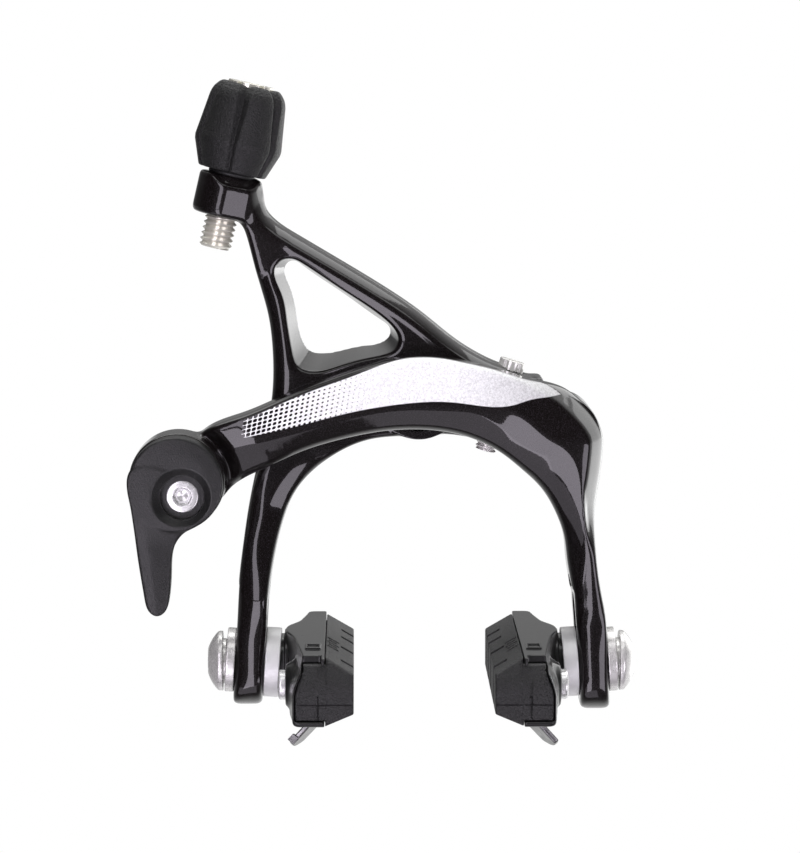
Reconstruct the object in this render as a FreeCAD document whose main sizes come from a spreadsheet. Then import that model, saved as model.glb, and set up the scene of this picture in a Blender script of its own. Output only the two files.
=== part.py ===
import FreeCAD, Part
import math
import os
import Sketcher
from FreeCAD import Placement, Rotation, Vector

# Dual-pivot rim brake caliper, in millimetres.
# The origin is on the mounting bolt's axis, in the face that meets the fork crown.
# +Y points back into the fork, +X to the right seen from the front, +Z up.
# The rear arm turns on the mounting bolt and the front arm on the side pivot.

DRIVING_SIZES = [
    # alias, value, what it is
    ("washer_length", 4.0, "knurled washer between fork crown and bracket"),
    ("bracket_thickness", 4.0, "plate that carries both pivots"),
    ("spring_gap", 4.0, "room for the return spring"),
    ("rear_arm_thickness", 8.0, "plate part of the rear arm"),
    ("arm_gap", 0.8, "running gap between the two arms"),
    ("front_arm_thickness", 8.8, "arch part of the front arm"),
    ("stud_length", 26.0, "mounting bolt behind the crown face"),
    ("bolt_r", 3.0, "M6 bolt"),
    ("bolt_hole_r", 3.05, "close hole for an M6 bolt"),
    ("neck_r", 3.4, "mounting bolt's shoulder inside the caliper"),
    ("neck_hole_r", 3.45, "close hole for the shoulder"),
    ("bolt_head_r", 5.5, "mounting bolt and side pivot head"),
    ("bolt_head_height", 2.2, "mounting bolt head"),
    ("washer_r", 8.5, "knurled washer"),
    ("sleeve_r", 5.2, "spacer inside the return spring"),
    ("centre_bushing_r", 4.5, "bush that the rear arm turns on"),
    ("side_bushing_r", 4.0, "bush that the side pivot turns in"),
    ("centre_thrust_r", 5.4, "slip washer on the mounting bolt, inside the spring"),
    ("side_thrust_r", 6.0, "slip washer at the side pivot"),
    ("thrust_thickness", 0.36, "slip washers at both pivots"),
    ("hub_r", 7.6, "rear arm boss on the mounting bolt"),
    ("side_boss_r", 6.4, "front arm boss on the side pivot"),
    ("pivot_span_x", 26.0, "side pivot, right of the mounting bolt"),
    ("pivot_drop", 6.0, "side pivot, below the mounting bolt"),
    ("reach", 48.35, "mounting bolt down to the shoe bolts"),
    ("foot_span", 31.2, "centre plane to the middle of each arm's foot"),
    ("foot_thickness", 5.5, "arm's foot, across"),
    ("foot_half_width", 7.0, "arm's foot, front to back"),
    ("foot_splay", 3.5, "degrees that the feet splay outwards"),
    ("shoe_depth", 18.0, "shoe bolt in front of the crown face"),
    ("slot_r", 3.1, "half width of the height slot"),
    ("slot_travel", 10.0, "height adjustment, 39 to 49 mm of reach"),
    ("eye_r", 8.6, "front arm's eye for the quick release"),
    ("cam_r", 6.0, "quick release hub"),
    ("cam_bore_r", 2.05, "off-centre hole in the hub"),
    ("lever_disc_r", 8.35, "quick release lever's disc"),
    ("lever_thickness", 4.8, "quick release lever"),
    ("anchor_shank_r", 2.0, "cable anchor bolt"),
    ("anchor_head_r", 2.9, "cable anchor bolt"),
    ("anchor_socket", 3.0, "hex socket across flats"),
    ("clamp_r", 5.9, "washer that presses the cable"),
    ("nut_flats", 8.0, "anchor nut across flats"),
    ("cable_r", 0.8, "inner brake cable"),
    ("adjuster_tilt", 13.0, "degrees that the barrel adjuster leans inwards"),
    ("adjuster_boss_r", 5.6, "collar on the rear arm"),
    ("adjuster_boss_length", 7.6, "collar on the rear arm"),
    ("adjuster_thread_r", 2.95, "M6 thread of the barrel"),
    ("adjuster_hole_r", 3.05, "hole in the collar"),
    ("adjuster_collar_r", 4.2, "barrel's head inside the knob"),
    ("housing_r", 2.6, "seat for the cable housing"),
    ("housing_depth", 9.0, "seat for the cable housing"),
    ("cable_hole_r", 1.0, "cable hole through the barrel"),
    ("knob_top_r", 5.2, "knob, top edge"),
    ("knob_shoulder_r", 6.8, "knob, under the top chamfer"),
    ("knob_belly_r", 7.95, "knob, widest"),
    ("knob_foot_r", 6.0, "knob, bottom edge"),
    ("knob_height", 15.9, "knob"),
    ("ring_r", 4.4, "O-ring under the knob"),
    ("seat_r", 6.35, "dished washer on the foot's rim side"),
    ("outer_seat_r", 5.85, "dished washer on the foot's outer side"),
    ("seat_hole_r", 3.45, "dished washers' hole, with room to tilt"),
    ("ball_r", 8.0, "sphere of the dished seats"),
    ("shoe_shank_r", 2.95, "shoe bolt"),
    ("shoe_head_r", 5.45, "shoe bolt's domed head"),
    ("holder_half_height", 6.15, "shoe holder"),
    ("holder_length", 53.0, "shoe holder"),
    ("holder_front", 34.0, "shoe holder in front of its bolt"),
    ("pad_screw_r", 2.65, "pad screw's head"),
    ("spring_wire_r", 0.75, "return spring"),
    ("spring_turn_r", 6.3, "return spring's coil, to the wire's middle"),
]

FRONT = Vector(0, -1, 0)
BACK = Vector(0, 1, 0)
ON_X_AXIS = -1
ON_Y_AXIS = -2
PLANE_ROLES = {"XY": "XY_Plane", "XZ": "XZ_Plane", "YZ": "YZ_Plane"}

doc = FreeCAD.newDocument("rim_brake_caliper")
sheet = doc.addObject("Spreadsheet::Sheet", "Sizes")
nodes = []


def fill_sheet():
    """Writes each driving size into the sheet, as a cell with an alias."""
    for row, (alias, value, note) in enumerate(DRIVING_SIZES, start=1):
        sheet.set(f"A{row}", alias)
        sheet.set(f"B{row}", str(value))
        sheet.set(f"C{row}", note)
        sheet.setAlias(f"B{row}", alias)
    doc.recompute()


def size(name):
    """A driving size by its alias, or a plain number as it is."""
    return float(sheet.get(name)) if isinstance(name, str) else float(name)


def bind(thing, prop, name):
    """Sets a property, and ties it to the sheet if name is an alias."""
    setattr(thing, prop, size(name))
    if isinstance(name, str):
        thing.setExpression(prop, f"Sizes.{name}")


def node(thing, label):
    """Marks an object as a sub-part that is exported under its label."""
    thing.Label = label
    nodes.append(thing)
    return thing


def facing(base, direction):
    """Placement that carries the local Z axis to a direction."""
    return Placement(Vector(base), Rotation(Vector(0, 0, 1), Vector(direction)))


def new_body(label):
    body = doc.addObject("PartDesign::Body", "body_" + label)
    return body


def sketch_on(body, plane, offset=0.0):
    """A sketch on one of the body's own origin planes, moved along its normal."""
    sketch = body.newObject("Sketcher::SketchObject", body.Name + "_sketch")
    role = PLANE_ROLES[plane]
    support = next(f for f in body.Origin.OriginFeatures if f.Role == role)
    sketch.AttachmentSupport = (support, "")
    sketch.MapMode = "FlatFace"
    sketch.AttachmentOffset = Placement(Vector(0, 0, offset), Rotation())
    return sketch


def hold_point(sketch, index, kind, axis, name):
    """Fixes one coordinate of a line's start, tied to the sheet if it is an alias."""
    value = size(name)
    if value == 0:
        sketch.addConstraint(Sketcher.Constraint("PointOnObject", index, 1, axis))
        return
    at = sketch.addConstraint(Sketcher.Constraint(kind, -1, 1, index, 1, value))
    if isinstance(name, str):
        sketch.setExpression(f"Constraints[{at}]", f"Sizes.{name}")


def add_polygon(sketch, corners):
    """A closed outline of straight lines, with every corner fixed."""
    points = [Vector(size(x), size(y), 0) for x, y in corners]
    first = len(sketch.Geometry)
    for here, there in zip(points, points[1:] + points[:1]):
        sketch.addGeometry(Part.LineSegment(here, there))
    for i in range(len(points)):
        follower = first + (i + 1) % len(points)
        sketch.addConstraint(Sketcher.Constraint("Coincident", first + i, 2, follower, 1))
    for i, (x, y) in enumerate(corners):
        hold_point(sketch, first + i, "DistanceX", ON_Y_AXIS, x)
        hold_point(sketch, first + i, "DistanceY", ON_X_AXIS, y)


def add_circle(sketch, x, y, radius):
    """A circle with a radius from the sheet."""
    centre = Vector(x, y, 0)
    at = sketch.addGeometry(Part.Circle(centre, Vector(0, 0, 1), size(radius)))
    held = sketch.addConstraint(Sketcher.Constraint("Radius", at, size(radius)))
    if isinstance(radius, str):
        sketch.setExpression(f"Constraints[{held}]", f"Sizes.{radius}")


def add_smooth(sketch, points):
    """A closed smooth outline through hand-placed points."""
    curve = Part.BSplineCurve()
    curve.interpolate(Points=[Vector(x, y, 0) for x, y in points], PeriodicFlag=True)
    sketch.addGeometry(curve)


def add_rounded(sketch, corners):
    """A closed polygon whose corners (x, y, radius) are tangent arcs."""
    points = [Vector(x, y, 0) for x, y, _ in corners]
    count = len(points)
    starts, ends, middles = [], [], []
    for i in range(count):
        before = (points[i - 1] - points[i]).normalize()
        after = (points[(i + 1) % count] - points[i]).normalize()
        half = before.getAngle(after) / 2
        radius = corners[i][2]
        back_off = radius / math.tan(half)
        bisector = (before + after).normalize()
        middles.append(points[i] + bisector * (radius / math.sin(half) - radius))
        starts.append(points[i] + before * back_off)
        ends.append(points[i] + after * back_off)
    for i in range(count):
        sketch.addGeometry(Part.Arc(starts[i], middles[i], ends[i]))
        sketch.addGeometry(Part.LineSegment(ends[i], starts[(i + 1) % count]))


def pad(body, sketch, length, symmetric=False, reverse=False):
    feature = body.newObject("PartDesign::Pad", body.Name + "_pad")
    feature.Profile = sketch
    bind(feature, "Length", length)
    feature.SideType = "Symmetric" if symmetric else "One side"
    feature.Reversed = reverse
    return feature


def pocket(body, sketch, length=None, symmetric=False, reverse=False):
    """Cuts a sketch out of the body, through all of it if no length is given."""
    feature = body.newObject("PartDesign::Pocket", body.Name + "_pocket")
    feature.Profile = sketch
    if length is None:
        feature.Type = "ThroughAll"
    else:
        bind(feature, "Length", length)
    feature.SideType = "Symmetric" if symmetric else "One side"
    feature.Reversed = reverse
    return feature


def turned(label, profile, base, direction, full=True):
    """A turned piece: a (radius, height) outline revolved about the local Z axis."""
    body = new_body(label)
    sketch = sketch_on(body, "XZ")
    add_polygon(sketch, profile)
    spin = body.newObject("PartDesign::Revolution", body.Name + "_turn")
    spin.Profile = sketch
    spin.ReferenceAxis = (sketch, ["V_Axis"])
    spin.Angle = 360.0
    body.Placement = facing(base, direction)
    return node(body, label) if full else body


def tube(label, inner, outer, length, base, direction):
    """A plain ring or bush."""
    profile = [(inner, 0), (outer, 0), (outer, length), (inner, length)]
    return turned(label, profile, base, direction)


def cylinder(radius, height, base, direction):
    """A cylinder used as a tool or as a boss."""
    tool = doc.addObject("Part::Cylinder", "tool")
    bind(tool, "Radius", radius)
    bind(tool, "Height", height)
    tool.Placement = facing(base, direction)
    return tool


def hexagon(flats, height, base, direction):
    """A hexagonal prism used as a tool or as a nut."""
    tool = doc.addObject("Part::Prism", "hexagon")
    tool.Polygon = 6
    tool.Circumradius = size(flats) / math.sqrt(3)
    if isinstance(flats, str):
        tool.setExpression("Circumradius", f"Sizes.{flats} / sqrt(3)")
    bind(tool, "Height", height)
    tool.Placement = facing(base, direction)
    return tool


def box(low, high, placement=None):
    """A box between two corners, in the placement's own frame."""
    tool = doc.addObject("Part::Box", "box")
    tool.Length, tool.Width, tool.Height = (h - l for l, h in zip(low, high))
    tool.Placement = (placement or Placement()) * Placement(Vector(low), Rotation())
    return tool


def ball(radius, centre):
    tool = doc.addObject("Part::Sphere", "ball")
    bind(tool, "Radius", radius)
    tool.Placement = Placement(Vector(centre), Rotation())
    return tool


def fused(things):
    result = doc.addObject("Part::MultiFuse", "fused")
    result.Shapes = things
    return result


def without(base, tools):
    """The base with every tool cut out of it."""
    result = doc.addObject("Part::Cut", "cut")
    result.Base = base
    result.Tool = tools[0] if len(tools) == 1 else fused(tools)
    return result


# Layers from the crown face at 0 towards the front.
fill_sheet()
BRACKET_BACK = -size("washer_length")
BRACKET_FRONT = BRACKET_BACK - size("bracket_thickness")
REAR_ARM_BACK = BRACKET_FRONT - size("spring_gap")
REAR_ARM_FRONT = REAR_ARM_BACK - size("rear_arm_thickness")
FRONT_ARM_BACK = REAR_ARM_FRONT - size("arm_gap")
FRONT_ARM_FRONT = FRONT_ARM_BACK - size("front_arm_thickness")
SIDE_BOSS_BACK = BRACKET_FRONT - 0.45
SIDE_PIVOT = Vector(size("pivot_span_x"), 0, -size("pivot_drop"))
SHOE_Y = -size("shoe_depth")
SHOE_Z = -size("reach")
EYE = Vector(-43.4, 0, -14.0)
ANCHOR = Vector(-42.3, 0, -16.4)
CABLE_Y = -17.0
COUNTERBORE_DEPTH = 2.6
FOOT_BASE_Y = -11.0
tilt = math.radians(size("adjuster_tilt"))
CABLE_LINE = Vector(math.sin(tilt), 0, math.cos(tilt))
COLLAR_FOOT = Vector(-35.6, CABLE_Y, 32.7)
SCREW_SEAT = Vector(16.7, -15.0, 4.7)
SCREW_LINE = Vector(-math.sin(math.radians(17.2)), 0, -math.cos(math.radians(17.2)))


def at_depth(point, y):
    """The same place in the front view, at a stated depth."""
    return Vector(point.x, y, point.z)


# ---- frame-fixed pieces: mounting bolt, washer, bracket, bushes, spring ----


def mounting_bolt():
    head = REAR_ARM_FRONT + 0.1
    total = size("stud_length") - head
    chamfer = 0.6
    profile = [
        (0, 0),
        (5.0, 0),
        ("bolt_head_r", 0.5),
        ("bolt_head_r", "bolt_head_height"),
        ("neck_r", "bolt_head_height"),
        ("neck_r", -head),
        ("bolt_r", -head),
        ("bolt_r", total - chamfer),
        (size("bolt_r") - chamfer, total),
        (0, total),
    ]
    turned("mounting_bolt", profile, (0, head, 0), BACK)


def mounting_washer():
    """The washer against the crown, with notches round its rim for grip."""
    notch_count = 24
    body = new_body("mounting_washer")
    sketch = sketch_on(body, "XY")
    add_circle(sketch, 0, 0, "washer_r")
    add_circle(sketch, 0, 0, "neck_hole_r")
    pad(body, sketch, "washer_length")
    notch = sketch_on(body, "XY")
    add_circle(notch, size("washer_r") + 0.25, 0, 0.6)
    doc.recompute()
    cut = pocket(body, notch, reverse=True)
    doc.recompute()
    pattern = body.newObject("PartDesign::PolarPattern", "notches")
    pattern.Originals = [cut]
    axis = next(f for f in body.Origin.OriginFeatures if f.Role == "Z_Axis")
    pattern.Axis = (axis, [""])
    pattern.Angle = 360.0
    pattern.Occurrences = notch_count
    body.Tip = pattern
    body.Placement = facing((0, BRACKET_BACK, 0), BACK)
    node(body, "mounting_washer")


def pivot_bracket():
    """The plate that joins both pivots, with a peg that anchors the spring."""
    body = new_body("pivot_bracket")
    outline = sketch_on(body, "XZ")
    add_smooth(
        outline,
        [
            (-8.6, -0.5),
            (-5.5, 6.6),
            (1.0, 8.5),
            (12.0, 4.2),
            (20.0, 1.6),
            (26.0, -0.1),
            (29.8, -2.6),
            (31.6, -7.5),
            (29.6, -12.4),
            (23.0, -13.6),
            (16.0, -11.0),
            (10.0, -8.4),
            (4.0, -7.7),
            (-2.0, -8.0),
            (-7.0, -5.6),
        ],
    )
    pad(body, outline, "bracket_thickness")
    holes = sketch_on(body, "XZ")
    add_circle(holes, 0, 0, "neck_hole_r")
    add_circle(holes, SIDE_PIVOT.x, SIDE_PIVOT.z, "side_bushing_r")
    doc.recompute()
    pocket(body, holes, symmetric=True)
    peg = sketch_on(body, "XZ")
    add_circle(peg, 13.0, -7.6, 1.0)
    pad(body, peg, size("bracket_thickness") + 2.6)
    body.Placement = Placement(Vector(0, BRACKET_BACK, 0), Rotation())
    node(body, "pivot_bracket")


def bushes():
    sleeve_length = size("spring_gap") - 0.4
    tube(
        "spacer_sleeve",
        "neck_hole_r",
        "sleeve_r",
        sleeve_length,
        (0, BRACKET_FRONT, 0),
        FRONT,
    )
    bush_length = size("rear_arm_thickness") - COUNTERBORE_DEPTH + 0.6
    tube(
        "centre_bushing",
        "neck_hole_r",
        "centre_bushing_r",
        bush_length,
        (0, BRACKET_FRONT - sleeve_length - 0.02, 0),
        FRONT,
    )
    tube(
        "side_pivot_bushing",
        3.06,
        "side_bushing_r",
        "bracket_thickness",
        at_depth(SIDE_PIVOT, BRACKET_BACK),
        FRONT,
    )


def thrust_washers():
    """Two slip washers, one at each pivot, as one group."""
    rings = []
    places = [
        (Vector(0, REAR_ARM_BACK + 0.38, 0), "centre_thrust_r", "centre_bushing_r"),
        (at_depth(SIDE_PIVOT, BRACKET_FRONT - 0.04), "side_thrust_r", "side_bushing_r"),
    ]
    for base, rim, hole in places:
        disc = cylinder(rim, "thrust_thickness", base, FRONT)
        bore = cylinder(size(hole) + 0.06, 1.0, base + BACK * 0.3, FRONT)
        rings.append(without(disc, [bore]))
    group = doc.addObject("Part::Compound", "thrust_pair")
    group.Links = rings
    node(group, "thrust_washers")


def return_spring():
    """A wire round the spacer sleeve: one leg on the bracket's peg, one on the rear arm."""
    wire_r = size("spring_wire_r")
    turn_r = size("spring_turn_r")
    first_y = REAR_ARM_BACK + wire_r + 0.25
    last_y = BRACKET_FRONT - wire_r - 0.25
    arm_end = Vector(-24.5, first_y, -12.2)
    peg_end = Vector(15.8, last_y, -6.6)

    def touch(end, side):
        """Angle at which the leg leaves the coil over its top."""
        away = math.atan2(end.z, end.x)
        return away + side * math.acos(turn_r / math.hypot(end.x, end.z))

    def on_coil(angle, y):
        return Vector(turn_r * math.cos(angle), y, turn_r * math.sin(angle))

    start = touch(arm_end, -1) % (2 * math.pi)
    stop = touch(peg_end, 1) - 2 * math.pi
    steps = 20
    turns = []
    for i in range(steps + 1):
        share = i / steps
        turns.append(on_coil(start + (stop - start) * share, first_y + (last_y - first_y) * share))
    coil = Part.BSplineCurve()
    coil.interpolate(Points=turns)
    edges = [
        Part.LineSegment(arm_end, turns[0]).toShape(),
        coil.toShape(),
        Part.LineSegment(turns[-1], peg_end).toShape(),
    ]
    path = Part.Wire(edges)
    section = Part.Wire(Part.Circle(arm_end, turns[0] - arm_end, wire_r).toShape())
    spring = doc.addObject("Part::Feature", "spring")
    spring.Shape = path.makePipeShell([section], True, True)
    node(spring, "return_spring")


# ---- arms ----


def arm_foot(side):
    """The flat, slotted end of an arm, splayed outwards. side is -1 left, 1 right."""
    body = new_body("left_foot" if side < 0 else "right_foot")
    half = size("foot_half_width")
    low = -0.65
    high = low + size("slot_travel")
    slot = size("slot_r")
    outline = sketch_on(body, "YZ")
    outline.addGeometry(Part.Arc(Vector(-half, low, 0), Vector(0, low - half, 0), Vector(half, low, 0)))
    corners = [(half, low), (half, high + 0.5), (5.0, high + 9.0), (-5.0, high + 9.0)]
    corners += [(-half, high + 0.5), (-half, low)]
    for here, there in zip(corners, corners[1:]):
        outline.addGeometry(Part.LineSegment(Vector(*here, 0), Vector(*there, 0)))
    outline.addGeometry(Part.Arc(Vector(-slot, low, 0), Vector(0, low - slot, 0), Vector(slot, low, 0)))
    outline.addGeometry(Part.Arc(Vector(slot, high, 0), Vector(0, high + slot, 0), Vector(-slot, high, 0)))
    outline.addGeometry(Part.LineSegment(Vector(slot, low, 0), Vector(slot, high, 0)))
    outline.addGeometry(Part.LineSegment(Vector(-slot, high, 0), Vector(-slot, low, 0)))
    pad(body, outline, "foot_thickness", symmetric=True)
    body.Placement = foot_frame(side)
    return body


def foot_frame(side):
    """Frame of an arm's foot: origin at the shoe bolt, Z up along the foot."""
    splay = Rotation(Vector(0, 1, 0), -side * size("foot_splay"))
    return Placement(Vector(side * size("foot_span"), SHOE_Y, SHOE_Z), splay)


def rear_arm():
    """Cable-stop arm: triangle frame, hub, left leg and the short right finger."""
    body = new_body("rear_arm_blank")
    outline = sketch_on(body, "XZ")
    left_edge = [
        (-33.2, 34.5),
        (-31.7, 30.5),
        (-30.1, 25.5),
        (-28.6, 19.9),
        (-27.3, 15.1),
        (-26.6, 10.0),
        (-26.4, 4.9),
        (-26.8, -1.0),
        (-28.2, -7.5),
        (-29.8, -14.2),
        (-31.0, -20.3),
        (-31.9, -26.5),
        (-32.6, -33.5),
    ]
    inner_edge = [
        (-31.0, -35.6),
        (-29.2, -35.6),
        (-27.7, -33.5),
        (-27.1, -30.0),
        (-26.2, -26.0),
        (-24.9, -22.0),
        (-22.3, -17.0),
        (-18.5, -12.8),
        (-13.5, -9.4),
        (-8.5, -7.6),
        (-2.0, -7.0),
    ]
    finger = [
        (6.0, -6.8),
        (11.0, -7.6),
        (15.2, -7.3),
        (17.9, -4.6),
        (19.2, -1.0),
        (20.8, 1.2),
        (22.5, 2.0),
        (22.4, 3.4),
    ]
    top_edge = [
        (20.3, 4.7),
        (17.2, 6.0),
        (14.1, 7.15),
        (10.4, 8.6),
        (6.8, 10.5),
        (1.3, 14.6),
        (-7.0, 20.3),
        (-14.6, 24.9),
        (-22.2, 29.4),
        (-25.9, 31.9),
        (-27.8, 35.0),
        (-29.2, 38.5),
        (-32.0, 38.5),
    ]
    add_smooth(outline, left_edge + inner_edge + finger + top_edge)
    pad(body, outline, 14.0)
    front = sketch_on(body, "YZ")
    front_face = REAR_ARM_FRONT - FOOT_BASE_Y
    back_face = REAR_ARM_BACK - FOOT_BASE_Y
    add_polygon(
        front,
        [(-15, 45), (front_face, 45), (front_face, -20), (-11.8, -33), (-11.8, -40), (-15, -40)],
    )
    doc.recompute()
    pocket(body, front, symmetric=True)
    back = sketch_on(body, "YZ")
    add_polygon(
        back,
        [(back_face, 45), (back_face, -20), (-2.4, -33), (-2.4, -40), (1, -40), (1, 45)],
    )
    doc.recompute()
    pocket(body, back, symmetric=True)
    window = sketch_on(body, "XZ")
    add_rounded(window, [(-25.35, 27.28, 2.2), (-20.5, 7.09, 2.2), (-0.23, 10.47, 2.4)])
    doc.recompute()
    pocket(body, window, symmetric=True)
    body.Placement = Placement(Vector(0, FOOT_BASE_Y, 0), Rotation())

    collar = cylinder("adjuster_boss_r", "adjuster_boss_length", COLLAR_FOOT, CABLE_LINE)
    hub = cylinder("hub_r", "rear_arm_thickness", (0, REAR_ARM_BACK, 0), FRONT)
    whole = fused([body, arm_foot(-1), collar, hub])
    cuts = [
        cylinder(4.55, 20.0, (0, -5.0, 0), FRONT),
        cylinder(6.0, 5.0, (0, REAR_ARM_FRONT + COUNTERBORE_DEPTH, 0), FRONT),
        cylinder("adjuster_hole_r", 12.0, COLLAR_FOOT - CABLE_LINE * 2.0, CABLE_LINE),
        cylinder(2.05, 20.0, SCREW_SEAT, SCREW_LINE),
        cylinder(2.6, 6.0, SCREW_SEAT, SCREW_LINE * -1),
        roller_slot(),
    ]
    node(without(whole, cuts), "rear_arm")


def link_line():
    """Direction from the mounting bolt to the side pivot."""
    return Vector(SIDE_PIVOT).normalize()


def roller_slot():
    """The slot in the rear arm that the front arm's roller runs in."""
    body = new_body("roller_slot")
    sketch = sketch_on(body, "XZ")
    half_width, half_length = 2.7, 1.0
    ends = [(-half_length, 1), (half_length, -1)]
    for x, way in ends:
        top = Vector(x, half_width, 0)
        low = Vector(x, -half_width, 0)
        sketch.addGeometry(Part.Arc(top, Vector(x - way * half_width, 0, 0), low))
    for z in (half_width, -half_width):
        sketch.addGeometry(Part.LineSegment(Vector(-half_length, z, 0), Vector(half_length, z, 0)))
    pad(body, sketch, 5.0)
    turn = Rotation(Vector(1, 0, 0), link_line())
    body.Placement = Placement(at_depth(SIDE_PIVOT * 0.5, REAR_ARM_FRONT + 2.4), turn)
    return body


def front_arm():
    """Cable-anchor arm: eye for the quick release, arch over the tyre, right leg."""
    body = new_body("front_arm_blank")
    outline = sketch_on(body, "XZ")
    top_edge = [
        (-42.0, -8.4),
        (-38.1, -4.9),
        (-31.6, -2.3),
        (-23.9, 1.0),
        (-17.1, 3.7),
        (-9.6, 6.2),
        (-4.0, 7.6),
        (0.5, 8.0),
        (4.5, 7.7),
        (8.5, 6.9),
        (13.3, 5.8),
        (19.8, 3.8),
        (23.2, 3.1),
        (26.4, 1.9),
        (29.3, -0.5),
        (31.6, -3.2),
        (33.1, -6.5),
    ]
    outer_edge = [
        (33.1, -10.0),
        (32.6, -14.4),
        (32.0, -18.4),
        (31.7, -22.6),
        (31.9, -27.1),
        (32.6, -33.5),
        (31.0, -35.6),
        (29.2, -35.6),
        (27.7, -33.5),
        (26.8, -29.3),
        (26.2, -24.9),
        (24.6, -20.4),
    ]
    arch = [
        (21.9, -15.9),
        (18.8, -12.8),
        (15.2, -9.8),
        (10.5, -7.2),
        (6.5, -5.9),
        (0.0, -5.1),
        (-7.4, -5.5),
        (-14.3, -6.9),
        (-21.5, -9.2),
        (-27.2, -11.9),
        (-31.6, -14.1),
        (-34.5, -16.7),
        (-37.6, -20.3),
        (-43.0, -19.5),
        (-46.5, -13.5),
    ]
    add_smooth(outline, top_edge + outer_edge + arch)
    pad(body, outline, FOOT_BASE_Y - FRONT_ARM_FRONT)
    back_face = FRONT_ARM_BACK - FOOT_BASE_Y
    front_face = FRONT_ARM_FRONT - FOOT_BASE_Y
    left_back = sketch_on(body, "YZ")
    add_polygon(left_back, [(back_face, 12), (back_face, -40), (1, -40), (1, 12)])
    doc.recompute()
    pocket(body, left_back)
    right_back = sketch_on(body, "YZ")
    add_polygon(
        right_back,
        [(back_face, 12), (back_face, -14), (-6.0, -24), (-2.4, -33), (-2.4, -40), (1, -40), (1, 12)],
    )
    doc.recompute()
    pocket(body, right_back, reverse=True)
    right_front = sketch_on(body, "YZ")
    add_polygon(
        right_front,
        [(-20, -14), (front_face, -14), (-15.5, -24), (-11.8, -33), (-11.8, -40), (-20, -40)],
    )
    doc.recompute()
    pocket(body, right_front, reverse=True)
    body.Placement = Placement(Vector(0, FOOT_BASE_Y, 0), Rotation())

    eye = cylinder("eye_r", "front_arm_thickness", at_depth(EYE, FRONT_ARM_BACK), FRONT)
    boss_length = SIDE_BOSS_BACK - FRONT_ARM_BACK + 2.0
    boss = cylinder("side_boss_r", boss_length, at_depth(SIDE_PIVOT, SIDE_BOSS_BACK), FRONT)
    whole = fused([body, arm_foot(1), eye, boss])
    cuts = [
        cylinder(size("cam_r") + 0.05, 20.0, at_depth(EYE, -15.0), FRONT),
        cylinder("bolt_r", 18.0, at_depth(SIDE_PIVOT, -8.0), FRONT),
        cylinder(1.5, 4.0, at_depth(SIDE_PIVOT * 0.5, FRONT_ARM_BACK + 0.2), FRONT),
    ]
    node(without(whole, cuts), "front_arm")


def side_pivot_bolt():
    """Screws into the front arm from behind and turns in the bracket's bush."""
    head_height = 2.6
    total = head_height + 21.4
    profile = [
        (0, 0),
        (4.8, 0),
        ("bolt_head_r", 0.7),
        ("bolt_head_r", head_height),
        ("bolt_r", head_height),
        ("bolt_r", total),
        (0, total),
    ]
    head_back = BRACKET_BACK + 0.05 + head_height
    bolt = turned("side_bolt_blank", profile, at_depth(SIDE_PIVOT, head_back), FRONT, full=False)
    socket = hexagon(5.0, 2.0, at_depth(SIDE_PIVOT, head_back - 1.8), BACK)
    node(without(bolt, [socket]), "side_pivot_bolt")


def link_roller():
    """Pin and roller that make both arms turn by the same angle."""
    pin = at_depth(SIDE_PIVOT * 0.5, FRONT_ARM_BACK - 3.6)
    turned("link_pin", [(0, 0), (1.5, 0), (1.5, 6.5), (0, 6.5)], pin, BACK)
    tube("link_roller", 1.55, 2.5, 2.0, at_depth(SIDE_PIVOT * 0.5, REAR_ARM_FRONT + 2.1), FRONT)


def spring_slider():
    """Plastic shoe on the back of the rear arm that the spring's leg lies in."""
    block = box((-27.0, REAR_ARM_BACK, -14.0), (-20.5, REAR_ARM_BACK + 1.9, -7.0))
    leg = Vector(-24.5, REAR_ARM_BACK + 1.0, -12.2)
    way = Vector(20.2, 0, 17.0).normalize()
    groove = cylinder(size("spring_wire_r") + 0.08, 24.0, leg - way * 6.0, way)
    opening = box((-1.2, 0, -0.85), (24.0, 3.0, 0.85), facing_x(leg - way * 4.0, way))
    node(without(block, [groove, opening]), "spring_slider")


def facing_x(base, direction):
    """Placement that carries the local X axis to a direction in the front view."""
    return Placement(Vector(base), Rotation(Vector(1, 0, 0), Vector(direction)))


def centring_screw():
    """Screw through the rear arm's finger, slanting down behind the front arm."""
    head = 3.0
    total = head + 14.3
    profile = [
        (0, 0),
        (2.0, 0),
        (2.4, 0.5),
        (2.4, head),
        (1.95, head),
        (1.95, total - 0.6),
        (1.4, total),
        (0, total),
    ]
    top = SCREW_SEAT - SCREW_LINE * head
    screw = turned("centring_screw_blank", profile, top, SCREW_LINE, full=False)
    socket = hexagon(2.5, 2.2, top - SCREW_LINE * 0.2, SCREW_LINE)
    node(without(screw, [socket]), "centring_screw")


# ---- quick release and cable anchor ----


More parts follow.
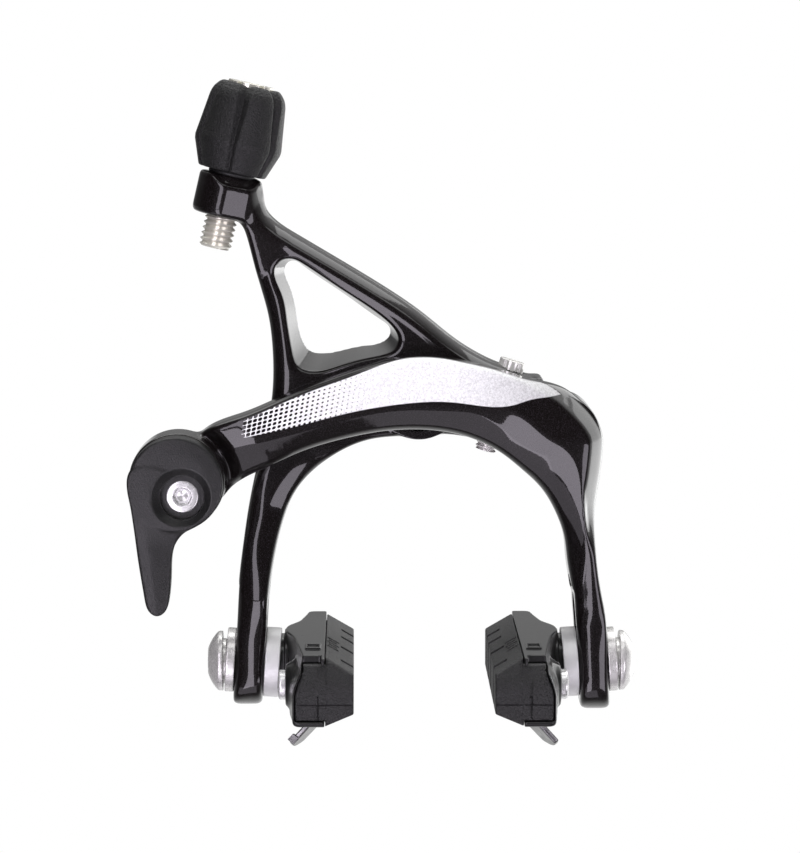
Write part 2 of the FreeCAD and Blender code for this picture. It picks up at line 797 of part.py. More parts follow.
def qr_lever():
    """Disc and thumb lever, with a dished recess round the anchor bolt."""
    body = new_body("qr_lever_blank")
    disc = sketch_on(body, "XZ")
    add_circle(disc, EYE.x, EYE.z, "lever_disc_r")
    pad(body, disc, "lever_thickness")
    thumb = sketch_on(body, "XZ")
    add_smooth(
        thumb,
        [
            (-51.5, -12.0),
            (-51.5, -17.5),
            (-50.4, -26.0),
            (-49.1, -34.5),
            (-48.2, -37.0),
            (-46.9, -37.7),
            (-45.5, -37.0),
            (-44.7, -34.8),
            (-44.3, -30.0),
            (-43.8, -25.5),
            (-42.2, -23.0),
            (-39.5, -20.6),
            (-43.0, -13.0),
        ],
    )
    pad(body, thumb, size("lever_thickness") - 0.6)
    body.Placement = Placement(Vector(0, FRONT_ARM_FRONT - 0.4, 0), Rotation())
    face = FRONT_ARM_FRONT - 0.4 - size("lever_thickness")
    dish = doc.addObject("Part::Cone", "dish")
    dish.Radius1, dish.Radius2, dish.Height = 3.2, 5.4, 2.4
    dish.Placement = facing(at_depth(ANCHOR, face + 2.3), FRONT)
    hole = cylinder(3.2, 8.0, at_depth(ANCHOR, FRONT_ARM_FRONT), FRONT)
    node(without(body, [dish, hole]), "qr_lever")


def qr_pieces():
    """Hub with the off-centre hole, its snap ring and the detent washer."""
    hub_front = FRONT_ARM_FRONT - 0.4
    hub_back = FRONT_ARM_BACK + 1.1
    hub = cylinder("cam_r", hub_back - hub_front, at_depth(EYE, hub_back), FRONT)
    bore = cylinder("cam_bore_r", 20.0, at_depth(ANCHOR, -15.0), FRONT)
    node(without(hub, [bore]), "qr_cam_hub")
    tube("qr_snap_ring", "cam_r", 7.4, 0.8, at_depth(EYE, hub_back - 0.25), FRONT)
    tube("qr_detent_washer", 6.1, 8.0, 0.36, at_depth(EYE, FRONT_ARM_FRONT - 0.02), FRONT)


def cable_anchor():
    """Bolt, grooved plate, clamp washer and nut that grip the cable."""
    head = 2.4
    hub_front = FRONT_ARM_FRONT - 0.42
    plate_front = FRONT_ARM_BACK + 1.2
    plate_back = plate_front + 2.2
    shank = size("anchor_shank_r")
    bolt_end = plate_back + 1.2 + 3.2 + 0.8
    total = head + bolt_end - hub_front
    profile = [
        (0, 0),
        (2.5, 0),
        ("anchor_head_r", 0.5),
        ("anchor_head_r", head),
        ("anchor_shank_r", head),
        ("anchor_shank_r", total - 0.5),
        (shank - 0.5, total),
        (0, total),
    ]
    bolt = turned("anchor_blank", profile, at_depth(ANCHOR, hub_front - head), BACK, full=False)
    socket = hexagon("anchor_socket", 2.0, at_depth(ANCHOR, hub_front - head - 0.3), BACK)
    node(without(bolt, [socket]), "cable_anchor_bolt")

    plate = new_body("anchor_plate")
    outline = sketch_on(plate, "XZ")
    x, z = ANCHOR.x, ANCHOR.z
    corners = [(x - 6.6, z + 5.2, 1.6), (x - 6.6, z - 5.4, 2.2), (x - 1.4, z - 7.2, 1.6)]
    corners += [(x + 4.6, z - 4.6, 1.8), (x + 4.6, z + 5.2, 1.8)]
    add_rounded(outline, corners)
    pad(plate, outline, 2.2)
    plate.Placement = Placement(Vector(0, plate_back, 0), Rotation())
    cable_at = Vector(COLLAR_FOOT.x, plate_back + 0.1, COLLAR_FOOT.z)
    groove = cylinder("cable_r", 80.0, cable_at - CABLE_LINE * 70.0, CABLE_LINE)
    bore = cylinder("cam_bore_r", 6.0, at_depth(ANCHOR, plate_back + 1.0), FRONT)
    node(without(plate, [groove, bore]), "cable_anchor_plate")

    washer_at = at_depth(ANCHOR, plate_back + 0.02)
    tube("cable_clamp_washer", "cam_bore_r", "clamp_r", 1.18, washer_at, BACK)
    nut = hexagon("nut_flats", 3.2, at_depth(ANCHOR, plate_back + 1.22), BACK)
    nut_bore = cylinder("anchor_shank_r", 10.0, at_depth(ANCHOR, plate_back - 2.0), BACK)
    node(without(nut, [nut_bore]), "cable_anchor_nut")


# ---- barrel adjuster ----


def adjuster():
    """Knob, threaded barrel and O-ring on the slanting cable line."""
    boss = size("adjuster_boss_length")
    ring = 0.6
    knob_foot = boss + ring + 0.05
    height = size("knob_height")
    knob_top = knob_foot + height
    knob = turned(
        "knob_blank",
        [
            (3.1, 0),
            ("knob_foot_r", 0),
            ("knob_belly_r", 5.3),
            ("knob_shoulder_r", 14.2),
            ("knob_top_r", "knob_height"),
            (4.25, "knob_height"),
            (4.25, 3.0),
            (3.1, 3.0),
        ],
        COLLAR_FOOT + CABLE_LINE * knob_foot,
        CABLE_LINE,
        full=False,
    )
    flutes = []
    flute_count = 6
    for i in range(flute_count):
        turn = Rotation(Vector(0, 0, 1), 360.0 * i / flute_count + 30.0)
        frame = facing(COLLAR_FOOT + CABLE_LINE * knob_foot, CABLE_LINE)
        flute = doc.addObject("Part::Cylinder", "flute")
        flute.Radius, flute.Height = 1.5, height - 1.6
        flute.Placement = frame * Placement(Vector(), turn) * Placement(Vector(8.5, 0, -0.1), Rotation())
        flutes.append(flute)
    node(without(knob, flutes), "adjuster_knob")

    thread_foot = -5.8
    total = knob_top + 0.4 - thread_foot
    seat = total - size("housing_depth")
    collar = knob_foot + 3.05 - thread_foot
    turned(
        "adjuster_barrel",
        [
            ("cable_hole_r", 0),
            (2.4, 0),
            ("adjuster_thread_r", 0.6),
            ("adjuster_thread_r", collar),
            ("adjuster_collar_r", collar),
            ("adjuster_collar_r", total),
            ("housing_r", total),
            ("housing_r", seat),
            ("cable_hole_r", seat),
        ],
        COLLAR_FOOT + CABLE_LINE * thread_foot,
        CABLE_LINE,
    )
    tube("adjuster_o_ring", 3.0, "ring_r", ring, COLLAR_FOOT + CABLE_LINE * (boss + 0.03), CABLE_LINE)


# ---- brake shoes ----


class ShoeSide:
    """Places along a shoe bolt: depth is counted from the foot's middle towards the rim."""

    def __init__(self, side):
        self.side = side
        self.name = "left" if side < 0 else "right"
        self.inward = Vector(-side, 0, 0)
        splay = math.radians(size("foot_splay"))
        self.foot_inward = Vector(-side * math.cos(splay), 0, -math.sin(splay))
        self.centre = Vector(side * size("foot_span"), SHOE_Y, SHOE_Z)

    def at(self, depth, forward=0.0, up=0.0):
        return self.centre + self.inward * depth + Vector(0, -forward, up)

    def on_foot(self, depth):
        return self.centre + self.foot_inward * depth


def dished_washers(shoe):
    """Seats on both faces of the foot, hollowed by spheres centred on the shoe bolt."""
    half = size("foot_thickness") / 2
    blank = cylinder("seat_r", 2.7, shoe.on_foot(half), shoe.foot_inward)
    hole = cylinder("seat_hole_r", 8.0, shoe.on_foot(half - 2.0), shoe.foot_inward)
    hollow = ball("ball_r", shoe.at(half + 0.7 + size("ball_r")))
    node(without(blank, [hole, hollow]), shoe.name + "_inner_washer")

    outward = shoe.foot_inward * -1
    blank = cylinder("outer_seat_r", 1.6, shoe.on_foot(-half), outward)
    hole = cylinder("seat_hole_r", 8.0, shoe.on_foot(2.0 - half), outward)
    hollow = ball("ball_r", shoe.at(-half - 0.4 - size("ball_r")))
    node(without(blank, [hole, hollow]), shoe.name + "_outer_washer")


def ball_washer(shoe):
    """The rounded washer between the dished seat and the holder."""
    half = size("foot_thickness") / 2
    centre_depth = half + 0.7 + size("ball_r")
    stem = cylinder(5.0, 3.9, shoe.at(3.1), shoe.inward)
    flange = cylinder(5.8, 0.7, shoe.at(6.35), shoe.inward)
    cap = ball(size("ball_r") - 0.03, shoe.at(centre_depth))
    rounded = doc.addObject("Part::Common", "rounded")
    rounded.Base = fused([stem, flange])
    rounded.Tool = cap
    hole = cylinder("bolt_hole_r", 12.0, shoe.at(0), shoe.inward)
    node(without(rounded, [hole]), shoe.name + "_ball_washer")


def shoe_bolt(shoe):
    """Domed bolt from outside, through the slot, into the holder."""
    half = size("foot_thickness") / 2
    ball_r = size("ball_r") - 0.03
    centre_depth = -half - 0.4 - size("ball_r")
    dome_end = -6.95
    height = 2.0
    dome = turned(
        shoe.name + "_dome_blank",
        [
            (0, 0),
            (3.6, 0),
            (5.0, 0.45),
            ("shoe_head_r", 1.3),
            ("shoe_head_r", height),
            (0, height),
        ],
        shoe.at(dome_end),
        shoe.inward,
        full=False,
    )
    neck = cylinder(4.1, 2.4, shoe.at(-5.0), shoe.inward)
    under = doc.addObject("Part::Common", "under")
    under.Base = neck
    under.Tool = ball(ball_r, shoe.at(centre_depth))
    shank = cylinder("shoe_shank_r", 9.85 + 5.0, shoe.at(-5.0), shoe.inward)
    socket = hexagon(4.0, 1.9, shoe.at(dome_end - 0.2), shoe.inward)
    node(without(fused([dome, under, shank]), [socket]), shoe.name + "_shoe_bolt")


def shoe_section(shoe, corners, length, forward, label):
    """A straight bar with a (depth, height) section, running front to back."""
    body = new_body(label)
    sketch = sketch_on(body, "XZ")
    add_polygon(sketch, [(-shoe.side * depth, up) for depth, up in corners])
    pad(body, sketch, length, reverse=True)
    body.Placement = Placement(shoe.at(0, forward), Rotation())
    return body


def shoe_holder(shoe):
    """Channel that the pad slides into from the front, with its bolt boss."""
    height = size("holder_half_height")
    inside = 4.75
    channel = shoe_section(
        shoe,
        [
            (8.4, -height + 1.2),
            (9.2, -height),
            (13.8, -height),
            (13.8, -inside),
            (10.0, -inside),
            (10.0, inside),
            (13.8, inside),
            (13.8, height),
            (9.2, height),
            (8.4, height - 1.2),
        ],
        "holder_length",
        size("holder_front"),
        shoe.name + "_channel",
    )
    back_y = size("holder_length") - size("holder_front")
    end_wall = box(
        (min(shoe.side * -9.0, shoe.side * -13.8), back_y - 1.5, -inside - 0.5),
        (max(shoe.side * -9.0, shoe.side * -13.8), back_y, inside + 0.5),
        Placement(shoe.centre, Rotation()),
    )
    boss = cylinder(5.4, 2.0, shoe.at(7.07), shoe.inward)
    screw_boss = cylinder(4.0, 1.6, shoe.at(7.3, 20.0, -0.9), shoe.inward)
    cuts = [
        cylinder("shoe_shank_r", 6.0, shoe.at(5.5), shoe.inward),
        cylinder(1.4, 5.0, shoe.at(6.5, 20.0, -0.9), shoe.inward),
    ]
    whole = fused([channel, end_wall, boss, screw_boss])
    node(without(whole, cuts), shoe.name + "_holder")


def shoe_pad(shoe):
    """Rubber pad: a base in the channel and a tapered block with water slots."""
    length = size("holder_length") - 2.2
    bar = shoe_section(
        shoe,
        [
            (10.04, -4.7),
            (13.85, -4.7),
            (13.85, -5.9),
            (18.9, -3.9),
            (18.9, 3.0),
            (13.85, 5.9),
            (13.85, 4.7),
            (10.04, 4.7),
        ],
        length,
        size("holder_front") - 0.4,
        shoe.name + "_pad_bar",
    )
    slots = []
    for forward in (24.0, 10.0, -1.0, -9.0):
        low = shoe.at(16.6, forward, -8.0)
        high = shoe.at(20.0, forward - 1.8, 8.0)
        slots.append(box([min(a, b) for a, b in zip(low, high)], [max(a, b) for a, b in zip(low, high)]))
    slots.append(cylinder(1.45, 3.0, shoe.at(9.5, 20.0, -0.9), shoe.inward))
    node(without(bar, slots), shoe.name + "_pad")


def pad_screw(shoe):
    """Screw that locks the pad in its holder."""
    profile = [(0, 0), (2.1, 0), ("pad_screw_r", 0.5), ("pad_screw_r", 1.48), (1.4, 1.48), (1.4, 5.4), (0, 5.4)]
    blank = turned(shoe.name + "_screw_blank", profile, shoe.at(5.8, 20.0, -0.9), shoe.inward, full=False)
    socket = hexagon(2.0, 1.2, shoe.at(5.6, 20.0, -0.9), shoe.inward)
    node(without(blank, [socket]), shoe.name + "_pad_screw")


def wheel_guide(shoe):
    """Bent tab under the holder that steers the rim in, flaring outwards."""
    body = new_body(shoe.name + "_guide_blank")
    sketch = sketch_on(body, "XZ")
    low = -size("holder_half_height")
    corners = [(12.4, low), (11.2, low), (6.1, low - 4.6), (6.9, low - 5.4), (12.4, low - 0.9)]
    add_polygon(sketch, [(-shoe.side * depth, up) for depth, up in corners])
    pad(body, sketch, 12.0, reverse=True)
    body.Placement = Placement(shoe.at(0, 32.0), Rotation())
    node(body, shoe.name + "_wheel_guide")


def shoes():
    for side in (-1, 1):
        shoe = ShoeSide(side)
        dished_washers(shoe)
        ball_washer(shoe)
        shoe_bolt(shoe)
        shoe_holder(shoe)
        shoe_pad(shoe)
        pad_screw(shoe)
        wheel_guide(shoe)


def check_document():
    """Stops if any object failed or any sub-part isn't a sound solid."""
    doc.recompute()
    for thing in doc.Objects:
        if {"Invalid", "Error"} & set(thing.State):
            raise RuntimeError(f"{thing.Label} failed: {thing.State}")
    for thing in nodes:
        shape = thing.Shape
        if shape.isNull() or not shape.isValid() or not shape.Solids:
            raise RuntimeError(f"{thing.Label} is not a sound solid")


def export():
    os.makedirs("parts", exist_ok=True)
    for thing in nodes:
        thing.Shape.exportStep(f"parts/{thing.Label}.step")
        print(f"{thing.Label}: {len(thing.Shape.Solids)} solid, {thing.Shape.Volume:.1f} mm3")


mounting_bolt()
mounting_washer()
pivot_bracket()
bushes()
thrust_washers()
return_spring()
rear_arm()
front_arm()
side_pivot_bolt()
link_roller()
spring_slider()
centring_screw()
qr_lever()
qr_pieces()
cable_anchor()
adjuster()
shoes()
check_document()
export()
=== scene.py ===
import functools
import math

import bpy
import numpy as np
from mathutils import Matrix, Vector


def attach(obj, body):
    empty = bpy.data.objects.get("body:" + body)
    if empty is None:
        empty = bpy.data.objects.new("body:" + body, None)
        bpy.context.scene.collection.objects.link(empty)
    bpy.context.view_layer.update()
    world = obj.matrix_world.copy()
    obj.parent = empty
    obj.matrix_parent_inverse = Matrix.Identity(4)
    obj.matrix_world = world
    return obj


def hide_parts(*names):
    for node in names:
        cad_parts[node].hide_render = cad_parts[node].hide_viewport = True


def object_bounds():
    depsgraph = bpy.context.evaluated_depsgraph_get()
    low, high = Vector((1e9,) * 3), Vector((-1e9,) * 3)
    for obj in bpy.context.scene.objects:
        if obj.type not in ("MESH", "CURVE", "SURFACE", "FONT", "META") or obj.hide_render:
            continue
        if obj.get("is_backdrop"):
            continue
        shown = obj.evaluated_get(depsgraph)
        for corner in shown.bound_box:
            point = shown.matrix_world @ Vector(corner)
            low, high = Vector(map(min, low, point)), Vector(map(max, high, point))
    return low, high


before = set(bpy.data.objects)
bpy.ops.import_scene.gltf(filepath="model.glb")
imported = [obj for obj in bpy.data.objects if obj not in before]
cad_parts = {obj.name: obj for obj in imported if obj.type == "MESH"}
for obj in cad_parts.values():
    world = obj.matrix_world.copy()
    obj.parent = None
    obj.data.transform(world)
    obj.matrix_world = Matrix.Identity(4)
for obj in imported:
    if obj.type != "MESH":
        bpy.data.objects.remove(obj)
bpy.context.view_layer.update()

# Looks of the rim brake caliper. Shapes are worked out in millimetres and written in metres.
# The new pieces are signed distance fields: negative inside, turned into meshes by surface_nets.
# Shown from the front, +x is to the right, -y comes forward and +z is up.

MM = 0.001

# The arms' faces, from back to front along -y, and the pivots as (x, z).
REAR_BACK = -12.0
REAR_FRONT = -20.0
FRONT_BACK = -20.8
FRONT_FRONT = -29.6
SIDE_BOSS_BACK = -8.45
SIDE_PIVOT = (26.0, -6.0)
SIDE_BOSS_R = 6.4
EYE = (-43.4, -14.0)
ANCHOR = (-42.3, -16.4)
EYE_R = 8.6
CAM_R = 6.0
HUB_R = 7.6

# The feet and shoes, by side: -1 is the left and 1 the right. A leg is what lies past LEG_X, and
# OUTSIDE is a field's value where it has nothing to cut.
SHOE_Y = -18.0
SHOE_Z = -48.35
FOOT_X = {-1: 30.75, 1: 31.65}
FOOT_SPLAY = math.radians(3.5)
FOOT_HALF_WIDTH = 7.0
FOOT_HALF = 2.75
FOOT_DROP = {-1: 0.25, 1: 1.2}
SLOT_R = 3.1
SLOT_LOW = -0.65
SLOT_HIGH = 9.35
SEAT_ROOM_R = 6.5
LEG_X = 20.0
LEG_TOP = -30.0
OUTSIDE = 50.0

# The cable's line through the adjuster, and the slanting screw's line into the rear arm.
TILT = math.radians(13.0)
CABLE_LINE = np.array([math.sin(TILT), 0.0, math.cos(TILT)])
COLLAR_FOOT = np.array([-35.6, -17.0, 32.7])
COLLAR_R = 5.6
COLLAR_LENGTH = 7.6
SCREW_LEAN = math.radians(17.2)
SCREW_SEAT = np.array([16.35, -15.0, 3.55])
SCREW_LINE = np.array([-math.sin(SCREW_LEAN), 0.0, -math.cos(SCREW_LEAN)])

# Threads as radius, pitch and depth.
M6_THREAD = (2.97, 1.0, 0.5)
SHOE_THREAD = (2.95, 1.0, 0.4)
M4_THREAD = (1.96, 0.7, 0.32)

FORWARD = (0, -1, 0)


# ---- fields ----


def smooth_max(a, b, r):
    """Larger of two fields, with the crease between them rounded over about r."""
    h = np.maximum(r - np.abs(a - b), 0.0) / r
    return np.maximum(a, b) + h * h * h * r / 6.0


def smooth_min(a, b, r):
    return -smooth_max(-a, -b, r)


def fold(t, r):
    """Zero below t = 0 and t above it, bent over about r."""
    return 0.5 * (t + np.sqrt(t * t + r * r))


def ease(t, start, stop):
    """Zero before start, one after stop, smooth between."""
    s = np.clip((t - start) / (stop - start), 0.0, 1.0)
    return s * s * (3.0 - 2.0 * s)


def meet(*fields):
    """What all the fields share."""
    return functools.reduce(np.maximum, fields)


def join(*fields):
    """What any of the fields covers."""
    return functools.reduce(np.minimum, fields)


def trim(body, *cuts):
    """A field cut by others in turn; each cut comes with the rounding of its edge."""
    for cut, r in cuts:
        body = smooth_max(body, cut, r)
    return body


def away(a, b, centre):
    """Distance in a plane from a point."""
    return np.sqrt((a - centre[0]) ** 2 + (b - centre[1]) ** 2)


def blurred(t, taps, at, values):
    """Straight lines through (at, values), averaged over a few shifted readings."""
    return sum(np.interp(t + tap, at, values) for tap in taps) / len(taps)


SPLINE_STEPS = 8
SPLINE_LAP = 3


def through(points, closed=False):
    """Points along a cubic spline through given points."""
    p = np.array(points, float)
    if closed:
        p = np.vstack([p[-SPLINE_LAP:], p, p[: SPLINE_LAP + 1]])
    gaps = np.hypot(*(p[1:] - p[:-1]).T)
    n = len(p)
    rows = np.zeros((n, n))
    right = np.zeros((n, 2))
    rows[0, 0] = rows[-1, -1] = 1.0
    for i in range(1, n - 1):
        rows[i, i - 1] = gaps[i - 1]
        rows[i, i] = 2.0 * (gaps[i - 1] + gaps[i])
        rows[i, i + 1] = gaps[i]
        right[i] = 6.0 * ((p[i + 1] - p[i]) / gaps[i] - (p[i] - p[i - 1]) / gaps[i - 1])
    bend = np.linalg.solve(rows, right)
    spans = range(SPLINE_LAP, n - SPLINE_LAP - 1) if closed else range(n - 1)
    out = []
    for i in spans:
        h = gaps[i]
        for k in range(SPLINE_STEPS):
            b = k / SPLINE_STEPS
            a = 1.0 - b
            cubic = (a**3 - a) * bend[i] + (b**3 - b) * bend[i + 1]
            out.append(a * p[i] + b * p[i + 1] + cubic * h * h / 6.0)
    if not closed:
        out.append(p[-1])
    return np.array(out)


def far_from(line, x, z):
    """Distance in the x-z plane to an open line."""
    best = np.full(np.broadcast(x, z).shape, 1e9)
    for (ax, az), (bx, bz) in zip(line[:-1], line[1:]):
        ex, ez = bx - ax, bz - az
        t = np.clip(((x - ax) * ex + (z - az) * ez) / (ex * ex + ez * ez + 1e-12), 0.0, 1.0)
        best = np.minimum(best, (x - ax - t * ex) ** 2 + (z - az - t * ez) ** 2)
    return np.sqrt(best)


def outline(line, x, z):
    """Signed distance to a closed line, negative inside."""
    ring = np.vstack([line, line[:1]])
    inside = np.zeros(np.broadcast(x, z).shape, bool)
    for (ax, az), (bx, bz) in zip(ring[:-1], ring[1:]):
        if az == bz:
            continue
        crosses = (az > z) != (bz > z)
        inside ^= crosses & (x < (bx - ax) * (z - az) / (bz - az) + ax)
    return np.where(inside, -1.0, 1.0) * far_from(ring, x, z)


class Plan:
    """A smooth function of x and z, kept as cubic B-spline weights on a grid."""

    def __init__(self, low, high, step, function):
        self.step = step
        self.low = (low[0] - 3 * step, low[1] - 3 * step)
        counts = [int((high[i] - low[i]) / step) + 8 for i in range(2)]
        x = self.low[0] + step * np.arange(counts[0])[:, None]
        z = self.low[1] + step * np.arange(counts[1])[None, :]
        self.values = function(x, z) * np.ones(counts)

    def taps(self, t, low, count):
        u = (t - low) / self.step
        i = np.clip(np.floor(u).astype(int), 1, count - 3)
        f = np.clip(u - i, 0.0, 1.0)
        g = 1.0 - f
        weights = [
            g**3 / 6.0,
            (3 * f**3 - 6 * f**2 + 4) / 6.0,
            (3 * g**3 - 6 * g**2 + 4) / 6.0,
            f**3 / 6.0,
        ]
        return i, weights

    def __call__(self, x, z):
        i, wx = self.taps(x, self.low[0], self.values.shape[0])
        j, wz = self.taps(z, self.low[1], self.values.shape[1])
        total = 0.0
        for a in range(4):
            for b in range(4):
                total = total + wx[a] * wz[b] * self.values[i + a - 1, j + b - 1]
        return total


def along(point, base, way):
    """Height s along an axis and distance rho from it."""
    d = [c - b for c, b in zip(point, base)]
    s = d[0] * way[0] + d[1] * way[1] + d[2] * way[2]
    rho2 = (d[0] - s * way[0]) ** 2 + (d[1] - s * way[1]) ** 2 + (d[2] - s * way[2]) ** 2
    return s, np.sqrt(rho2 + 1e-12)


def rod(point, base, way, radius, start, stop, r):
    """A cylinder with rounded rims."""
    s, rho = along(point, base, way)
    return trim(rho - radius, (s - stop, r), (start - s, r))


def prism6(u, v, flats):
    """Signed distance across a hexagon whose flats are that far apart."""
    best = np.abs(v) - flats / 2
    for angle in (math.radians(60), math.radians(120)):
        best = meet(best, np.abs(-u * math.sin(angle) + v * math.cos(angle)) - flats / 2)
    return best


def plans(low, high, step, *functions):
    return [Plan(low, high, step, function) for function in functions]


# ---- meshes ----

CORNERS = np.array([(a, b, c) for c in (0, 1) for b in (0, 1) for a in (0, 1)])
EDGES = [(a, a + step) for step in (1, 2, 4) for a in range(8) if not a & step]


def net_points(values, inside):
    """The cells that the surface crosses, and a place in each, counted in cells."""
    counts = values.shape
    total = np.zeros([n - 1 for n in counts], np.uint8)
    for a, b, c in CORNERS:
        total += inside[a : counts[0] - 1 + a, b : counts[1] - 1 + b, c : counts[2] - 1 + c]
    cells = np.argwhere((total > 0) & (total < len(CORNERS)))
    corner = [values[tuple((cells + c).T)] for c in CORNERS]
    place = np.zeros((len(cells), 3))
    hits = np.zeros(len(cells))
    for a, b in EDGES:
        va, vb = corner[a].astype(float), corner[b].astype(float)
        cut = (va < 0) != (vb < 0)
        t = np.where(cut, va / np.where(cut, va - vb, 1.0), 0.0)
        spot = CORNERS[a] + t[:, None] * (CORNERS[b] - CORNERS[a])
        place += spot * cut[:, None]
        hits += cut
    return cells, cells + place / hits[:, None]


def net_quads(inside, index):
    """One outward quad round every grid edge that the surface crosses."""
    quads = []
    for axis in range(3):
        first, second = (axis + 1) % 3, (axis + 2) % 3
        here = [slice(None)] * 3
        there = [slice(None)] * 3
        here[axis], there[axis] = slice(0, -1), slice(1, None)
        a, b = inside[tuple(here)], inside[tuple(there)]
        spots = np.argwhere(a != b)
        for across in (first, second):
            spots = spots[(spots[:, across] > 0) & (spots[:, across] < inside.shape[across] - 1)]
        around = []
        for df, ds in ((0, 0), (-1, 0), (-1, -1), (0, -1)):
            shifted = spots.copy()
            shifted[:, first] += df
            shifted[:, second] += ds
            around.append(index[tuple(shifted.T)])
        ring = np.stack(around, 1)
        flip = ~a[tuple(spots.T)]
        ring[flip] = ring[flip][:, ::-1]
        quads.append(ring)
    return np.vstack(quads)


def surface_nets(field, low, high, step):
    """Points and quads of the zero surface of a field in a box, all in millimetres."""
    low, high = np.array(low, float), np.array(high, float)
    counts = np.ceil((high - low) / step).astype(int) + 1
    x, y, z = [low[i] + step * np.arange(counts[i]) for i in range(3)]
    grid = (x[:, None, None], y[None, :, None], z[None, None, :])
    values = (field(grid) * np.ones(tuple(counts))).astype(np.float32)
    inside = values < 0
    cells, places = net_points(values, inside)
    index = np.full(tuple(counts - 1), -1, np.int64)
    index[tuple(cells.T)] = np.arange(len(cells))
    return low + step * places, net_quads(inside, index)


def slope(field, points, reach):
    """Gradient of a field by central differences."""
    out = np.zeros_like(points)
    for i in range(3):
        step = np.zeros(3)
        step[i] = reach
        ahead = field(tuple((points + step).T))
        behind = field(tuple((points - step).T))
        out[:, i] = (ahead - behind) / (2 * reach)
    return out


SETTLE_ROUNDS = 3
SETTLE_REACH = 0.15
SETTLE_MOVE = 0.4
LEAST_SLOPE2 = 0.05
NORMAL_REACH = 0.04


def carve(name, field, low, high, step, body, slot, replaced, finish=None):
    """A piece from a field, settled onto its zero surface, with normals from its gradient."""
    points, quads = surface_nets(field, low, high, step)
    reach = step * SETTLE_REACH
    for _ in range(SETTLE_ROUNDS):
        g = slope(field, points, reach)
        size = np.maximum((g * g).sum(1), LEAST_SLOPE2)
        move = -(field(tuple(points.T)) / size)[:, None] * g
        length = np.sqrt((move * move).sum(1))[:, None]
        points = points + move * np.minimum(1.0, SETTLE_MOVE * step / np.maximum(length, 1e-9))
    g = slope(field, points, max(reach, NORMAL_REACH))
    normals = g / np.maximum(np.linalg.norm(g, axis=1), 1e-9)[:, None]
    mesh = bpy.data.meshes.new(name)
    mesh.from_pydata((points * MM).tolist(), [], quads.tolist())
    mesh.polygons.foreach_set("use_smooth", [True] * len(mesh.polygons))
    mesh.update()
    mesh.normals_split_custom_set_from_vertices(normals.tolist())
    mesh.materials.append(MATERIALS[finish or slot])
    piece = place_object(name, mesh)
    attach(piece, body)
    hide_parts(*replaced)
    return piece


def place_object(name, data):
    thing = bpy.data.objects.new(name, data)
    bpy.context.scene.collection.objects.link(thing)
    return thing


# ---- materials ----


class Nodes:
    """Adds nodes to a tree. A value may be a number, a colour or another node's output."""

    def __init__(self, tree):
        self.tree = tree

    def add(self, kind, **settings):
        node = self.tree.nodes.new("ShaderNode" + kind)
        for name, value in settings.items():
            setattr(node, name, value)
        return node

    def give(self, socket, value):
        if isinstance(value, bpy.types.NodeSocket):
            self.tree.links.new(value, socket)
        else:
            socket.default_value = value

    def fill(self, node, **values):
        """Gives a node's inputs their values, by name."""
        for name, value in values.items():
            self.give(node.inputs[name.replace("_", " ")], value)
        return node

    def math(self, operation, a, b=0.0, c=0.0):
        node = self.add("Math", operation=operation)
        for socket, value in zip(node.inputs, (a, b, c)):
            self.give(socket, value)
        return node.outputs[0]

    def mix(self, factor, a, b, kind="MIX"):
        node = self.add("Mix", data_type="RGBA", blend_type=kind)
        for key, value in (("Factor", factor), (6, a), (7, b)):
            self.give(node.inputs[key], value)
        return node.outputs[2]

    def axes(self, coordinates):
        """The x, y and z of one kind of texture coordinates."""
        node = self.add("SeparateXYZ")
        self.give(node.inputs[0], self.add("TexCoord").outputs[coordinates])
        return node.outputs


class Shader(Nodes):
    """A surface material under construction."""

    def __init__(self, name):
        self.material = bpy.data.materials.new(name)
        self.material.use_nodes = True
        super().__init__(self.material.node_tree)
        self.surface = self.tree.nodes["Principled BSDF"]
        self.place = self.add("TexCoord").outputs["Object"]

    def set(self, **values):
        self.fill(self.surface, **values)

    def noise(self, scale, detail=2.0):
        node = self.fill(self.add("TexNoise"), Scale=scale, Detail=detail, Vector=self.place)
        return node.outputs["Fac"]

    def cells(self, scale):
        node = self.fill(self.add("TexVoronoi"), Scale=scale, Vector=self.place)
        return node.outputs["Color"]

    def span(self, value, low, high, to_low=0.0, to_high=1.0):
        node = self.fill(self.add("MapRange"), Value=value, From_Min=low, From_Max=high)
        return self.fill(node, To_Min=to_low, To_Max=to_high).outputs[0]

    def bump(self, height, strength, distance, **under):
        node = self.fill(self.add("Bump"), Strength=strength, Distance=distance, Height=height, **under)
        return node.outputs[0]

    def upward(self):
        """How far a face looks up in its own piece's frame, from -1 to 1."""
        return self.axes("Normal")[2]


def grey(value):
    return (value, value, value, 1.0)


BLACK_BASE = (0.0045, 0.0034, 0.0032, 1.0)
VIOLET_FLAKE = (0.028, 0.023, 0.028, 1.0)
SILVER = (0.99, 0.99, 1.0, 1.0)
PAINT_ROUGHNESS = 0.34
DOT_ROUNDNESS = 2.6


def flaked_paint(shader):
    """Black base with fine violet flakes, as a colour and the height of its grain."""
    spark = shader.span(shader.cells(11000.0), 0.66, 1.0)
    return shader.mix(spark, BLACK_BASE, VIOLET_FLAKE), shader.noise(5200.0, 1.0)


def wavy_coat(shader, grain):
    """A clear coat that is slightly wavy and lets a little of the grain through."""
    wave = shader.bump(shader.noise(420.0), 0.05, 0.0001)
    shader.set(Coat_Normal=shader.bump(grain, 0.1, 0.00002, Normal=wave), Specular_IOR_Level=0.12)


